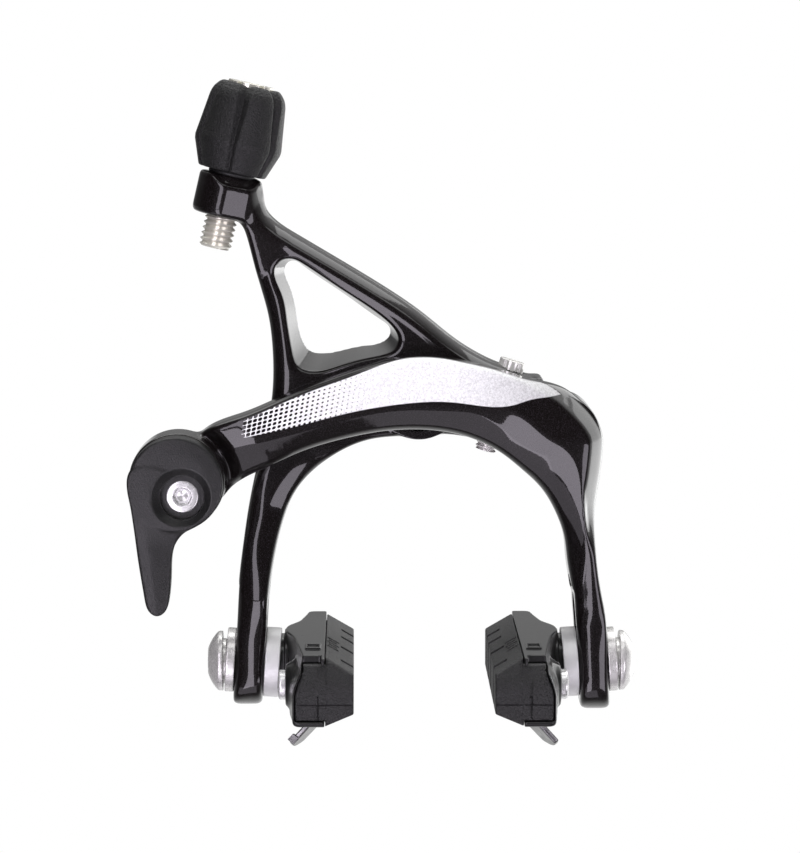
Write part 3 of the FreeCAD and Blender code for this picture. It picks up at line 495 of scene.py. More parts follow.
def arm_paint():
    shader = Shader("arm_paint")
    colour, grain = flaked_paint(shader)
    shader.set(Base_Color=colour, Metallic=0.0, Roughness=PAINT_ROUGHNESS)
    shader.set(Normal=shader.bump(grain, 0.4, 0.00003))
    shader.set(Coat_Weight=1.0, Coat_Roughness=0.03, Coat_IOR=1.5)
    wavy_coat(shader, grain)
    return shader.material


def halftone(shader, x, z):
    """Distance from the nearest dot's middle, in dots, on a skewed grid."""
    slant, rise = math.radians(8.6), math.radians(15.0)
    square = math.cos(slant + rise)
    off = []
    for ahead, aside, angle, pitch in ((x, z, slant, 0.00096), (z, x, rise, 0.00077)):
        ahead = shader.math("MULTIPLY", ahead, math.cos(angle))
        aside = shader.math("MULTIPLY", aside, math.sin(angle))
        dots = shader.math("DIVIDE", shader.math("SUBTRACT", ahead, aside), pitch * square)
        part = shader.math("SUBTRACT", shader.math("FRACT", dots), 0.5)
        off.append(shader.math("POWER", shader.math("ABSOLUTE", part), DOT_ROUNDNESS))
    return shader.math("POWER", shader.math("ADD", *off), 1 / DOT_ROUNDNESS)


def band_paint():
    """Black paint with the silver band: a mesh attribute says how far inside the band a point is."""
    shader = Shader("band_paint")
    colour, grain = flaked_paint(shader)
    depth = shader.add("Attribute", attribute_name="band").outputs["Fac"]
    x, _, z = shader.axes("Object")
    hole = shader.span(x, -0.0315, -0.0065, 0.45, 0.0)
    dot = shader.span(shader.math("SUBTRACT", halftone(shader, x, z), hole), -0.02, 0.02)
    silver = shader.math("MULTIPLY", shader.span(depth, -0.05, 0.05), dot)
    fine = shader.math("MULTIPLY", shader.noise(7000.0, 1.0), 0.45)
    tone = shader.math("MULTIPLY_ADD", shader.noise(2600.0, 3.0), 0.55, fine)
    tip = shader.span(x, 0.006, 0.027, 1.0, 0.55)
    bright = shader.math("MULTIPLY", shader.span(tone, 0.38, 0.6, 0.66, 0.98), tip)
    shader.set(Base_Color=shader.mix(silver, colour, shader.mix(bright, grey(0.0), SILVER)))
    shader.set(Metallic=shader.math("MULTIPLY", silver, 0.12))
    shader.set(Roughness=shader.math("MULTIPLY_ADD", silver, 0.1, PAINT_ROUGHNESS))
    shader.set(Normal=shader.bump(grain, 0.3, 0.00002))
    shader.set(Coat_Weight=shader.math("MULTIPLY_ADD", silver, -0.6, 1.0))
    shader.set(Coat_Roughness=shader.math("MULTIPLY_ADD", silver, 0.15, 0.02))
    wavy_coat(shader, grain)
    return shader.material


def moulded(name, tone, roughness, grain_scale, strength, depth, painted_top_light=0.0):
    """Black plastic or rubber with a moulded grain; its last value is painted light from above, a paler tone
    painted on its upward faces.
    """
    shader = Shader(name)
    grain = shader.noise(grain_scale, 3.0)
    cloud = shader.noise(300.0)
    plain_tone = shader.mix(cloud, grey(tone * 0.8), grey(tone * 1.25))
    # Upward faces get a paler tone, a painted highlight standing in for the light from above.
    painted_lit_top = shader.mix(cloud, grey(tone + painted_top_light * 0.8), grey(tone + painted_top_light))
    shader.set(Base_Color=shader.mix(shader.span(shader.upward(), 0.5, 0.8), plain_tone, painted_lit_top))
    shader.set(Roughness=shader.span(grain, 0.3, 0.7, roughness - 0.07, roughness + 0.07))
    shader.set(Normal=shader.bump(grain, strength, depth))
    return shader.material


def metal(name, tone, roughness, grain_scale=900.0, tint=(1.0, 1.0, 1.0), strength=0.1, share=1.0):
    """Bare or plated metal with fine tool marks; share is how much of it mirrors."""
    shader = Shader(name)
    marks = shader.noise(grain_scale, 3.0)
    cloud = shader.span(shader.noise(250.0, 3.0), 0.35, 0.65)
    low = tuple(tone * 0.93 * c for c in tint) + (1.0,)
    high = tuple(min(1.0, tone * 1.04 * c) for c in tint) + (1.0,)
    shader.set(Base_Color=shader.mix(cloud, low, high), Metallic=share)
    shader.set(Roughness=shader.span(marks, 0.3, 0.7, roughness * 0.75, roughness * 1.3))
    shader.set(Normal=shader.bump(marks, strength, 0.00003))
    return shader.material


def holder_paint():
    """Semi-gloss black whose clear coat is thick on top and thin on the sides."""
    shader = Shader("holder_paint")
    colour = shader.mix(shader.noise(1500.0), grey(0.008), grey(0.014))
    shader.set(Base_Color=colour, Roughness=0.3, Specular_IOR_Level=0.25)
    shader.set(Coat_Weight=shader.span(shader.upward(), 0.3, 0.8, 0.2, 1.0), Coat_Roughness=0.06)
    shader.set(Coat_Normal=shader.bump(shader.noise(700.0), 0.12, 0.0001))
    return shader.material


WARM = (1.0, 0.99, 0.97)
METALS = {
    "zinc_thread": dict(tone=0.85, roughness=0.18, tint=(1.0, 0.98, 0.88), share=0.65),
    "satin_alloy": dict(tone=0.72, roughness=0.45, grain_scale=3000.0, strength=0.9, share=0.5),
    "polished_alloy": dict(tone=0.2, roughness=0.3),
    "bright_steel": dict(tone=0.8, roughness=0.25, share=0.6),
    "plated_steel": dict(tone=0.88, roughness=0.22, tint=(1.0, 0.99, 0.96), share=0.45),
    "turned_steel": dict(tone=0.5, roughness=0.3, tint=WARM, strength=0.03, share=0.8),
    "shoe_steel": dict(tone=0.68, roughness=0.25, tint=WARM, strength=0.03, share=0.5),
    "forged_alloy": dict(tone=0.36, roughness=0.42, grain_scale=1500.0, strength=0.6, share=0.8),
    "spring_wire": dict(tone=0.5, roughness=0.28),
}
# Tone, roughness, grain scale, bump strength, bump depth, and painted top light: a paler tone painted on
# upward faces.
MOULDED = {
    "black_plastic": (0.008, 0.42, 4200.0, 0.6, 0.0001),
    "knob_plastic": (0.007, 0.5, 3000.0, 1.0, 0.00025),
    # The pad's last value paints its upward faces paler, as painted light from above.
    "pad_rubber": (0.009, 0.5, 2600.0, 1.0, 0.0003, 0.035),
    "slip_plastic": (0.03, 0.5, 2500.0, 0.2, 0.00003),
    "seal_rubber": (0.015, 0.5, 2500.0, 0.3, 0.00003),
}
MATERIALS = {"arm_paint": arm_paint(), "band_paint": band_paint(), "holder_paint": holder_paint()}
MATERIALS.update({name: metal(name, **look) for name, look in METALS.items()})
MATERIALS.update({name: moulded(name, *look) for name, look in MOULDED.items()})

# CAD nodes seen from behind that don't take their slot's look, and the width of their broken edges.
TURNED = ("mounting_washer", "side_pivot_bolt", "qr_detent_washer", "cable_anchor_nut",
          "cable_anchor_plate", "cable_clamp_washer")
REAR_FINISH = {"pivot_bracket": "forged_alloy", **dict.fromkeys(TURNED, "turned_steel")}
BROKEN_EDGES = {
    "pivot_bracket": 0.45, "side_pivot_bolt": 0.25, "cable_anchor_nut": 0.2,
    "cable_anchor_plate": 0.2, "spring_slider": 0.35, "mounting_washer": 0.12,
}


def dress_nodes():
    """Gives every carried-over CAD node its material, and breaks the edges seen from behind."""
    for name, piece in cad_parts.items():
        for holder in piece.material_slots:
            wanted = holder.material.name.split(".")[0] if holder.material else ""
            holder.material = MATERIALS[REAR_FINISH.get(name, wanted)]
        if name in BROKEN_EDGES:
            break_edges(piece, BROKEN_EDGES[name] * MM)


def break_edges(piece, width):
    """Small rounded edges on a flat-sided piece."""
    merge = piece.modifiers.new("merge", "DECIMATE")
    merge.decimate_type = "DISSOLVE"
    merge.angle_limit = math.radians(1.0)
    bevel = piece.modifiers.new("bevel", "BEVEL")
    bevel.width = width
    bevel.segments = 3
    bevel.limit_method = "ANGLE"
    bevel.angle_limit = math.radians(35.0)
    bevel.harden_normals = True


# ---- the arms ----


def foot_edge(side, half, levels):
    """Points on one edge of a foot, at the given heights."""
    lean = math.tan(FOOT_SPLAY)
    return [(side * (FOOT_X[side] + half - (z - SHOE_Z) * lean), z) for z in levels]


def arm_outline(side, from_inner_to_outer):
    """An arm's outline: a spline that starts and ends on the straight edges of its foot."""
    inner = foot_edge(side, -FOOT_HALF, (-47.0, -40.0))
    outer = foot_edge(side, FOOT_HALF, (-40.0, -47.0))
    ends = foot_edge(side, FOOT_HALF, (-60.0,)) + foot_edge(side, -FOOT_HALF, (-60.0,))
    return np.vstack([through(inner + from_inner_to_outer + outer), np.array(ends)])


def foot_height(z):
    return (z - SHOE_Z) / math.cos(FOOT_SPLAY)


def foot_cap(side, y, z):
    """Rounded lower end of a foot, seen from the side; it lets go above the slot."""
    low = SHOE_Z + SLOT_LOW - FOOT_DROP[side]
    cap = away(y, np.minimum(z, low), (SHOE_Y, low)) - FOOT_HALF_WIDTH
    return cap - 9.0 * ease(z, low + 9.0, low + 22.0)


def foot_slot(y, z):
    """Height slot through a foot, as a distance in the side view."""
    up = foot_height(z)
    middle = np.clip(up, SLOT_LOW, SLOT_HIGH)
    return np.sqrt((y - SHOE_Y) ** 2 + (up - middle) ** 2) - SLOT_R


def seat_flats(side, x, y, z):
    """Room for the dished seats on both sides of a foot, all along the slot."""
    off = (side * x - FOOT_X[side]) * math.cos(FOOT_SPLAY) + (z - SHOE_Z) * math.sin(FOOT_SPLAY)
    room = meet(foot_slot(y, z) + SLOT_R - SEAT_ROOM_R, FOOT_HALF - np.abs(off))
    return np.where(side * x > LEG_X, room, OUTSIDE)


def cut_foot(side, body, x, y, z):
    """Cuts the seats' flats and the height slot into an arm's foot."""
    slot = np.where((side * x > LEG_X) & (z < LEG_TOP), foot_slot(y, z), OUTSIDE)
    return trim(body, (-seat_flats(side, x, y, z), 0.3), (-slot, 0.5))


def arm_slab(side, front, back, x, y, z):
    """What lies between an arm's two faces, with the foot's lower end rounded."""
    slab = smooth_max(0.8 * (front(x, z) - y), y - back(x, z), 0.6)
    return smooth_max(slab, foot_cap(side, y, z), 2.2)


def heights(*knots):
    """A smooth function of z through (z, value) pairs, listed upwards."""
    reach, fineness, window = 10.0, 0.1, 41
    z_at, values = np.array(knots, float).T
    fine = np.arange(z_at[0] - reach, z_at[-1] + reach, fineness)
    raw = np.interp(fine, z_at, values)
    kernel = np.hanning(window)
    padded = np.pad(raw, window // 2, mode="edge")
    smooth = np.convolve(padded, kernel / kernel.sum(), mode="valid")
    return lambda z: np.interp(z, fine, smooth)


FRONT_TOP = [
    (-42.0, -8.4), (-38.1, -4.9), (-31.6, -2.3), (-23.9, 1.0), (-17.1, 3.7), (-9.6, 6.2), (-4.0, 7.6),
    (0.5, 8.0), (4.5, 7.7), (8.5, 6.9), (13.3, 5.8), (19.8, 3.8), (23.2, 3.1), (26.4, 1.9), (29.3, -0.5),
    (31.6, -3.2), (33.1, -6.5),
]
FRONT_OUTER = [(33.1, -10.0), (32.6, -14.4), (32.0, -18.4), (31.7, -22.6), (31.9, -27.1), (32.7, -33.5)]
FRONT_INNER = [(27.6, -34.0), (26.8, -29.3), (26.2, -24.9), (24.6, -20.4)]
FRONT_ARCH = [
    (21.9, -15.9), (18.8, -12.8), (15.2, -9.8), (10.5, -7.2), (6.5, -5.9), (0.0, -5.1), (-7.4, -5.5),
    (-14.3, -6.9), (-21.5, -9.2), (-27.2, -11.9), (-31.6, -14.1), (-34.5, -16.7), (-37.6, -20.3),
    (-43.0, -19.5), (-46.5, -13.5),
]
RIDGE = [
    (-35.7, -8.4), (-30.9, -7.1), (-21.4, -4.7), (-12.5, -2.3), (-3.6, -0.8), (5.4, -0.9), (12.8, -1.1),
    (16.0, -1.5), (18.6, -2.8), (22.3, -5.8), (25.6, -7.9), (27.4, -9.9), (28.5, -12.5), (29.1, -16.0),
    (29.6, -20.0), (30.3, -25.5), (31.4, -30.7), (31.8, -36.2), (32.0, -43.5), (32.3, -52.7), (32.5, -62.0),
]
BEVEL = [
    (-35.7, -8.9), (-21.4, -5.2), (-3.6, -1.3), (5.4, -1.4), (9.5, -1.9), (12.5, -3.3), (15.0, -5.0),
    (18.4, -7.8), (20.9, -9.9), (24.1, -13.1), (26.5, -17.0), (28.3, -20.9), (29.4, -24.6), (29.6, -28.5),
    (29.2, -32.1), (29.5, -38.0), (29.9, -43.5), (30.4, -52.7), (30.8, -62.0),
]
BAND_LOW = [
    (-31.9, -6.3), (-21.4, -4.0), (-12.0, -1.6), (-5.0, -0.4), (0.4, 0.15), (6.0, 0.1), (12.9, -0.7),
    (16.7, -0.4), (19.6, 0.5), (23.7, 1.05), (27.3, 1.5),
]
FRONT_LOW = (-53.0, -58.0)
FRONT_HIGH = (36.0, 10.0)
PLAN_STEP = 0.3
ARM_STEP = 0.36


def side_of(line, far, x, z):
    """Signed distance to an open line, positive on the side of the far points."""
    return -outline(np.vstack([line, np.array(far, float)]), x, z)


def drawn(line):
    """The signed distance to a closed line, as a function of x and z."""
    return lambda x, z: outline(line, x, z)


def front_rim(x, z, inward, outside):
    """How far the front face falls away at the arm's edge: wide and steep outside the ridge."""
    right = ease(x, 17.0, 27.0)
    plain = right * (1.0 - ease(-z, 19.0, 29.0))
    on_outside = ease(outside, -0.6, 0.6)
    width = (0.5 + 2.3 * plain) * on_outside + 0.75 * (1.0 - on_outside)
    steep = (0.9 + 0.8 * plain) * on_outside + 1.0 * (1.0 - on_outside)
    return steep * fold(width - inward, 0.35)


def front_arm_plans():
    """The front arm's outline, front and back faces, and band, as plans."""
    edge = arm_outline(1, FRONT_INNER + FRONT_ARCH + FRONT_TOP + FRONT_OUTER)
    ridge, bevel, band_low = through(RIDGE), through(BEVEL), through(BAND_LOW)
    above = [(80.0, -62.0), (80.0, 60.0), (-80.0, 60.0), (-80.0, -9.0)]
    depth_front = heights((-60, -25.0), (-36, -25.0), (-26, -26.2), (-14, -28.9), (-7, -29.6), (10, -29.6))
    depth_back = heights((-60, -10.6), (-39, -10.9), (-31, -13.6), (-24, -18.9), (-14, -20.8), (10, -20.8))

    def front(x, z):
        inward = -outline(edge, x, z)
        outside = side_of(ridge, above, x, z)
        inside = -side_of(bevel, above, x, z)
        depth = FRONT_FRONT + (depth_front(z) - FRONT_FRONT) * ease(x, 13.0, 25.0)
        outer_slope = 0.12 + 0.02 * ease(x, 17.0, 27.0) + 0.2 * ease(-z, 40.0, 47.0) * (x > LEG_X)
        middle_slope = 0.27 - 0.12 * ease(-z, 26.0, 36.0) * (x > LEG_X)
        inner_slope = 0.5 + 0.15 * ease(x, 14.0, 27.0) * ease(-z, 1.0, 16.0)
        depth = depth + outer_slope * fold(outside, 0.5) + middle_slope * fold(-outside, 0.5)
        depth = depth + (inner_slope - middle_slope) * fold(inside, 0.7)
        depth = depth + front_rim(x, z, inward, outside)
        depth = depth + 0.186 * fold(-0.81 * (x + 31.8) - 0.59 * (z + 4.0), 0.6)
        return depth + 1.6 * (1.0 - ease(away(x, z, EYE), 9.0, 11.8)) * (x < -LEG_X)

    def back(x, z):
        return np.where(x > 16.0, depth_back(z), FRONT_BACK)

    def band(x, z):
        far = [(27.6, 40.0), (-24.8, 40.0), (-31.9, -6.3)]
        rim = 0.75 * (1.0 - ease(x, -14.0, -2.0))
        return join(side_of(band_low, far, x, z), -outline(edge, x, z) - rim)

    return plans(FRONT_LOW, FRONT_HIGH, PLAN_STEP, drawn(edge), front, back, band)


def front_arm():
    """Arch with the quick release's eye, the side pivot's boss and the right leg."""
    edge, front, back, band = front_arm_plans()
    eye_line = (EYE[0], 0, EYE[1])
    boss_line = (SIDE_PIVOT[0], 0, SIDE_PIVOT[1])

    def field(point):
        x, y, z = point
        shoulder = 0.8 * ease(x, 16.0, 26.0) * (1.0 - ease(-z, 14.0, 26.0))
        rounding = 0.9 + shoulder + 1.2 * ease(-z, 44.0, 54.0)
        body = smooth_max(edge(x, z), arm_slab(1, front, back, x, y, z), rounding)
        eye = rod(point, eye_line, FORWARD, EYE_R, -FRONT_BACK, -FRONT_FRONT - 0.1, 1.0)
        body = smooth_min(body, eye, 1.6)
        boss = rod(point, boss_line, FORWARD, SIDE_BOSS_R, -SIDE_BOSS_BACK, 24.0, 0.4)
        body = smooth_min(body, boss, 1.0)
        body = smooth_max(body, CAM_R + 0.05 - away(x, z, EYE), 0.4)
        s, rho = along(point, boss_line, FORWARD)
        body = meet(body, join(3.0 - rho, 26.0 - s))
        return cut_foot(1, body, x, y, z)

    piece = carve("front_arm_body", field, (-53.5, -30.6, -57.5), (36.0, -7.5, 9.5), ARM_STEP,
                  "front_arm", "arm_paint", ["front_arm"], "band_paint")
    store_band(piece, band)


def store_band(piece, band):
    """Writes how far inside the silver band each vertex is, in millimetres; the back has none."""
    mesh = piece.data
    most = 3.0
    places = np.zeros(len(mesh.vertices) * 3)
    mesh.vertices.foreach_get("co", places)
    places = places.reshape(-1, 3) / MM
    depth = np.clip(band(places[:, 0], places[:, 2]), -most, most)
    depth = np.where(places[:, 1] < FRONT_BACK - 5.0, depth, -most)
    attribute = mesh.attributes.new("band", "FLOAT", "POINT")
    attribute.data.foreach_set("value", depth.astype(np.float32))


REAR_LEFT = [
    (-33.6, 36.0), (-32.4, 32.5), (-30.1, 25.5), (-28.6, 19.9), (-27.3, 15.1), (-26.6, 10.0), (-26.4, 4.9),
    (-26.8, -1.0), (-28.2, -7.5), (-29.8, -14.2), (-31.0, -20.3), (-31.9, -26.5), (-32.7, -33.5),
]
REAR_INNER = [
    (-27.0, -34.0), (-26.4, -30.0), (-25.6, -26.0), (-24.5, -22.0), (-22.3, -17.0), (-18.5, -12.8),
    (-13.5, -9.4), (-8.5, -7.6), (-2.0, -7.0),
]
REAR_FINGER = [
    (6.0, -6.8), (11.0, -7.6), (15.2, -7.3), (17.9, -4.6), (19.2, -1.0), (20.8, 1.2), (22.5, 2.0),
    (22.4, 3.4),
]
REAR_TOP = [
    (20.3, 3.8), (17.2, 4.9), (14.1, 6.1), (10.4, 7.9), (6.8, 10.2), (1.3, 14.6), (-7.0, 20.3),
    (-14.6, 24.9), (-22.2, 29.4), (-25.9, 31.9), (-27.8, 34.4), (-28.4, 37.5), (-30.6, 39.4),
]
WINDOW_FRONT = [
    (-26.2, 23.2), (-24.9, 24.9), (-22.9, 25.2), (-20.9, 24.3), (-14.0, 19.7), (-7.0, 15.0), (-4.5, 12.6),
    (-3.6, 10.8), (-4.5, 8.5), (-7.1, 7.5), (-14.6, 5.7), (-19.7, 4.6), (-22.2, 5.6), (-23.1, 8.3),
    (-24.0, 14.2), (-24.9, 18.7),
]
WINDOW_BACK = [
    (-24.3, 22.7), (-23.8, 24.0), (-22.8, 24.4), (-21.2, 23.6), (-13.5, 18.3), (-6.6, 13.4), (-5.3, 12.2),
    (-5.2, 11.2), (-6.7, 9.6), (-10.3, 8.9), (-17.5, 7.6), (-19.8, 8.1), (-21.3, 10.4), (-22.3, 15.6),
    (-23.5, 20.0),
]
LEG_LEFT_LINE = [
    (-27.2, 22.8), (-25.8, 17.8), (-24.5, 9.6), (-24.5, -0.3), (-25.6, -6.5), (-27.6, -12.8), (-28.9, -18.7),
    (-30.1, -24.2), (-30.6, -28.6), (-30.5, -32.8), (-30.4, -45.6), (-30.5, -62.0),
]
LEG_RIGHT_LINE = [
    (-20.6, -8.0), (-23.4, -12.8), (-26.4, -17.6), (-28.2, -22.6), (-28.9, -25.5), (-28.9, -29.3),
    (-28.4, -32.6), (-28.5, -45.6), (-28.6, -62.0),
]
REAR_LOW = (-43.0, -58.0)
REAR_HIGH = (25.0, 46.0)


def rear_arm_plans():
    """The rear arm's outline, front and back faces, and the window at both faces, as plans."""
    edge = arm_outline(-1, REAR_INNER + REAR_FINGER + REAR_TOP + REAR_LEFT)
    left_line, right_line, top = through(LEG_LEFT_LINE), through(LEG_RIGHT_LINE), through(REAR_TOP[::-1])
    window_front = through(WINDOW_FRONT, closed=True)
    window_back = through(WINDOW_BACK, closed=True)
    depth_front = heights((-60, -25.0), (-36, -25.0), (-28, -23.2), (-20, -20.6), (-12, -20.0), (40, -20.0))
    depth_back = heights((-60, -10.6), (-39, -10.9), (-31, -12.0), (40, -12.0))

    def front(x, z):
        left = side_of(left_line, [(-80.0, -62.0), (-80.0, 22.8)], x, z)
        right = side_of(right_line, [(40.0, -62.0), (40.0, -8.0)], x, z)
        leg = ease(-z, 8.0, 16.0)
        low_leg = ease(-z, 22.0, 32.0)
        depth = depth_front(z) + 0.48 * fold(left, 0.5) * ease(-x, 17.0, 23.0)
        depth = depth + (0.42 + 0.1 * low_leg) * leg * fold(right, 0.5) * ease(-x, 12.0, 18.0)
        strip = ease(-z, 15.0, 20.0) * (1.0 - ease(-z, 38.0, 45.0))
        depth = depth + 0.15 * strip * fold(-28.3 - x, 0.3)
        from_top = far_from(top, x, z)
        depth = depth + 1.15 * fold(2.0 - from_top, 0.35)
        step = fold(3.4 - from_top, 0.12) - fold(2.75 - from_top, 0.12)
        depth = depth - 0.3 * step * ease(x, -25.0, -23.0)
        depth = depth + 0.35 * fold(0.75 - outline(window_front, x, z), 0.2)
        return depth + 0.8 * fold(0.7 + outline(edge, x, z), 0.35)

    return plans(REAR_LOW, REAR_HIGH, PLAN_STEP, drawn(edge), front,
                 lambda x, z: depth_back(z), drawn(window_front), drawn(window_back))


def cable_collar(point):
    """The adjuster's collar on its leaning axis, with a flat on the right and a dip in its rim."""
    x, y, z = point
    s, rho = along(point, COLLAR_FOOT, CABLE_LINE)
    across = (x - COLLAR_FOOT[0]) * CABLE_LINE[2] - (z - COLLAR_FOOT[2]) * CABLE_LINE[0]
    turn = np.arctan2(y - COLLAR_FOOT[1], across)
    dip = ease(np.cos(turn + math.pi / 2 - 0.35), 0.45, 0.95) * ease(rho, 3.9, 4.9)
    rim = COLLAR_LENGTH - 1.5 * dip
    facet = math.sin(0.38) * across - math.cos(0.38) * (y - COLLAR_FOOT[1]) - 5.17
    return trim(rho - COLLAR_R, (facet, 0.4), (s - rim, 1.3), (-s, 1.8))


def bolt_bore(point):
    """The mounting bolt's bore with the pocket for its head."""
    _, rho = along(point, (0, 0, 0), (0, 1, 0))
    return join(rho - 4.55, meet(rho - 6.0, point[1] - REAR_FRONT - 2.6))


def screw_bore(point):
    """The slanting screw's bore with the seat for its head."""
    t, rho = along(point, SCREW_SEAT, SCREW_LINE)
    return join(rho - 2.05, meet(rho - 2.6, t))


def link_groove(point):
    """The groove for the link's roller, halfway to the side pivot."""
    x, y, z = point
    way = np.array(SIDE_PIVOT) / math.hypot(*SIDE_PIVOT)
    across, up = x - SIDE_PIVOT[0] / 2, z - SIDE_PIVOT[1] / 2
    u = across * way[0] + up * way[1]
    v = up * way[0] - across * way[1]
    groove = np.sqrt((u - np.clip(u, -1.0, 1.0)) ** 2 + v * v) - 2.7
    return meet(groove, y - REAR_FRONT - 2.4)


def rear_arm():
    """Triangle frame with a window, the adjuster's collar, the hub and the left leg."""
    edge, front, back, window_front, window_back = rear_arm_plans()

    def field(point):
        x, y, z = point
        rounding = 0.9 + 1.2 * ease(-z, 44.0, 54.0)
        body = smooth_max(edge(x, z), arm_slab(-1, front, back, x, y, z), rounding)
        deep = np.clip((y - REAR_FRONT) / (REAR_BACK - REAR_FRONT), -0.2, 1.2)
        window = window_front(x, z) * (1.0 - deep) + window_back(x, z) * deep
        body = smooth_max(body, -window, 0.7)
        body = smooth_min(body, cable_collar(point), 2.2)
        hub = rod(point, (0, 0, 0), FORWARD, HUB_R, -REAR_BACK, -REAR_FRONT, 0.4)
        body = smooth_min(body, hub, 0.8)
        body = meet(body, -bolt_bore(point))
        s, rho = along(point, COLLAR_FOOT, CABLE_LINE)
        body = smooth_max(body, 3.05 - rho + 20.0 * (s > 20.0), 0.3)
        body = meet(body, -screw_bore(point), -link_groove(point))
        return cut_foot(-1, body, x, y, z)

    carve("rear_arm_body", field, (-43.0, -26.0, -57.5), (24.0, -10.0, 42.0), ARM_STEP,
          "rear_arm", "arm_paint", ["rear_arm"])


# ---- small parts ----

GRID_NUDGE = 0.013


def frame_on(way):
    """Two unit vectors square to an axis: the first is nearest to +X."""
    way = np.array(way, float)
    first = np.array([1.0, 0.0, 0.0]) - way[0] * way
    if np.linalg.norm(first) < 0.1:
        first = np.array([0.0, 0.0, 1.0]) - way[2] * way
    first = first / np.linalg.norm(first)
    return first, np.cross(way, first)


def on_axis(name, base, way, radius, start, stop, shape, step, body, slot, replaced, finish=None):
    """A piece whose field is a function of height s, radius rho and the square axes u, v."""
    base, way = np.array(base, float), np.array(way, float)
    first, second = frame_on(way)

    def field(point):
        d = [c - b for c, b in zip(point, base)]
        s, u, v = [sum(a * b for a, b in zip(d, axis)) for axis in (way, first, second)]
        return shape(s, np.sqrt(u * u + v * v + 1e-12), u, v)

    margin = radius * np.sqrt(np.maximum(1.0 - way * way, 0.0)) + 2.0 * step
    ends = np.array([base + way * start, base + way * stop])
    low, high = ends.min(0) - margin - GRID_NUDGE, ends.max(0) + margin
    carve(name, field, low, high, step, body, slot, replaced, finish)


def head_with_socket(radius, height, flats, deep, dome, edge, foot_r, foot_end):
    """Shape of a round bolt head from s = 0 up to its face, with a hexagonal socket and a shank below."""

    def shape(s, rho, u, v):
        top = height - dome * (rho / radius) ** 2
        head = trim(rho - radius, (s - top, edge), (-s, 0.12))
        shank = trim(rho - foot_r, (-foot_end - s, 0.4), (s - 0.5 * height, 0.1))
        bottom = height - deep
        socket = meet(prism6(u, v, flats), bottom - s)
        cone = meet((rho * 1.15 - flats / 2 * 1.155 - (s - height + 0.25)) / 1.5, height - 0.45 - s)
        drill = meet(rho - flats * 0.38, bottom - 0.35 - s + 0.35 * rho)
        return smooth_max(smooth_min(head, shank, 0.15), -join(socket, cone, drill), 0.1)

    return shape


def thread(s, rho, u, v, radius, pitch, depth):
    """Field of a screw thread with flattened crests."""
    turn = s / pitch - np.arctan2(v, u) / (2.0 * math.pi)
    wave = np.abs(2.0 * (turn - np.floor(turn)) - 1.0)
    return (rho - radius + depth * smooth_max(0.0, 1.15 - 1.3 * wave, 0.2)) * 0.85


# ---- quick release and cable anchor ----

THUMB = [
    (-51.6, -12.0), (-51.5, -17.5), (-50.4, -26.0), (-49.1, -34.5), (-48.2, -37.0), (-46.9, -37.7),
    (-45.5, -37.0), (-44.7, -34.8), (-44.3, -30.0), (-43.8, -25.5), (-42.2, -23.0), (-39.5, -20.6),
    (-43.0, -13.0),
]
LEVER_BACK = -30.0
LEVER_FRONT = -34.8
LEVER_STEP = 0.22
DISC_R = 8.35
THUMB_CREASE = [(-49.5, -18.0), (-48.3, -26.0), (-47.0, -37.0), (-46.8, -42.0)]


def qr_lever():
    """Round cap over the eye with a thumb lever, dished round the anchor bolt."""
    thumb_line = through(THUMB, closed=True)
    crease = through(THUMB_CREASE)
    far = [(-20.0, -42.0), (-20.0, -18.0)]
    thumb, ridge = plans((-54.0, -40.0), (-33.0, -4.0), 0.25,
                         drawn(thumb_line), lambda x, z: side_of(crease, far, x, z))

    def field(point):
        x, y, z = point
        rim = away(x, z, EYE)
        rho = away(x, z, ANCHOR)
        disc = smooth_max(rim - DISC_R, LEVER_FRONT - y + 0.12 * fold(rim - 5.6, 0.6), 0.7)
        creased = 0.16 * fold(np.abs(ridge(x, z)) - 0.4, 1.0) * ease(-z, 19.0, 26.0)
        fall = 0.6 * ease(-z, 20.0, 25.0) + creased
        handle = smooth_max(thumb(x, z), LEVER_FRONT + fall + 0.05 - y, 0.8)
        body = smooth_max(smooth_min(disc, handle, 0.9), y - LEVER_BACK, 0.3)
        dish = (rho - 5.3 + 1.1 * (y - LEVER_FRONT)) * 0.75
        dish = smooth_max(dish, y - LEVER_FRONT - 1.25, 0.3)
        well = meet(rho - 3.95, y - LEVER_FRONT - 2.6)
        return smooth_max(body, -join(dish, well, rho - 2.2), 0.3)

    carve("quick_release_lever", field, (-53.0, -35.2, -38.6), (-34.3, -29.6, -5.0), LEVER_STEP,
          "quick_release", "black_plastic", ["qr_lever"])


def anchor_bolt():
    shape = head_with_socket(2.9, 2.4, 3.0, 1.7, dome=0.1, edge=0.5, foot_r=2.0, foot_end=17.0)
    on_axis("anchor_bolt", (ANCHOR[0], -30.02, ANCHOR[1]), FORWARD, 3.0, -17.2, 2.5, shape, 0.13,
            "cable_anchor", "bright_steel", ["cable_anchor_bolt"])


# ---- barrel adjuster ----

KNOB_FOOT = COLLAR_LENGTH + 0.65
KNOB_HEIGHT = 15.9
KNOB_LEVELS = [-1.0, 0.0, 5.0, 13.6, 15.0, 16.2]
KNOB_RADII = [5.6, 6.2, 8.05, 6.95, 6.3, 4.9]
KNOB_PETALS = 6


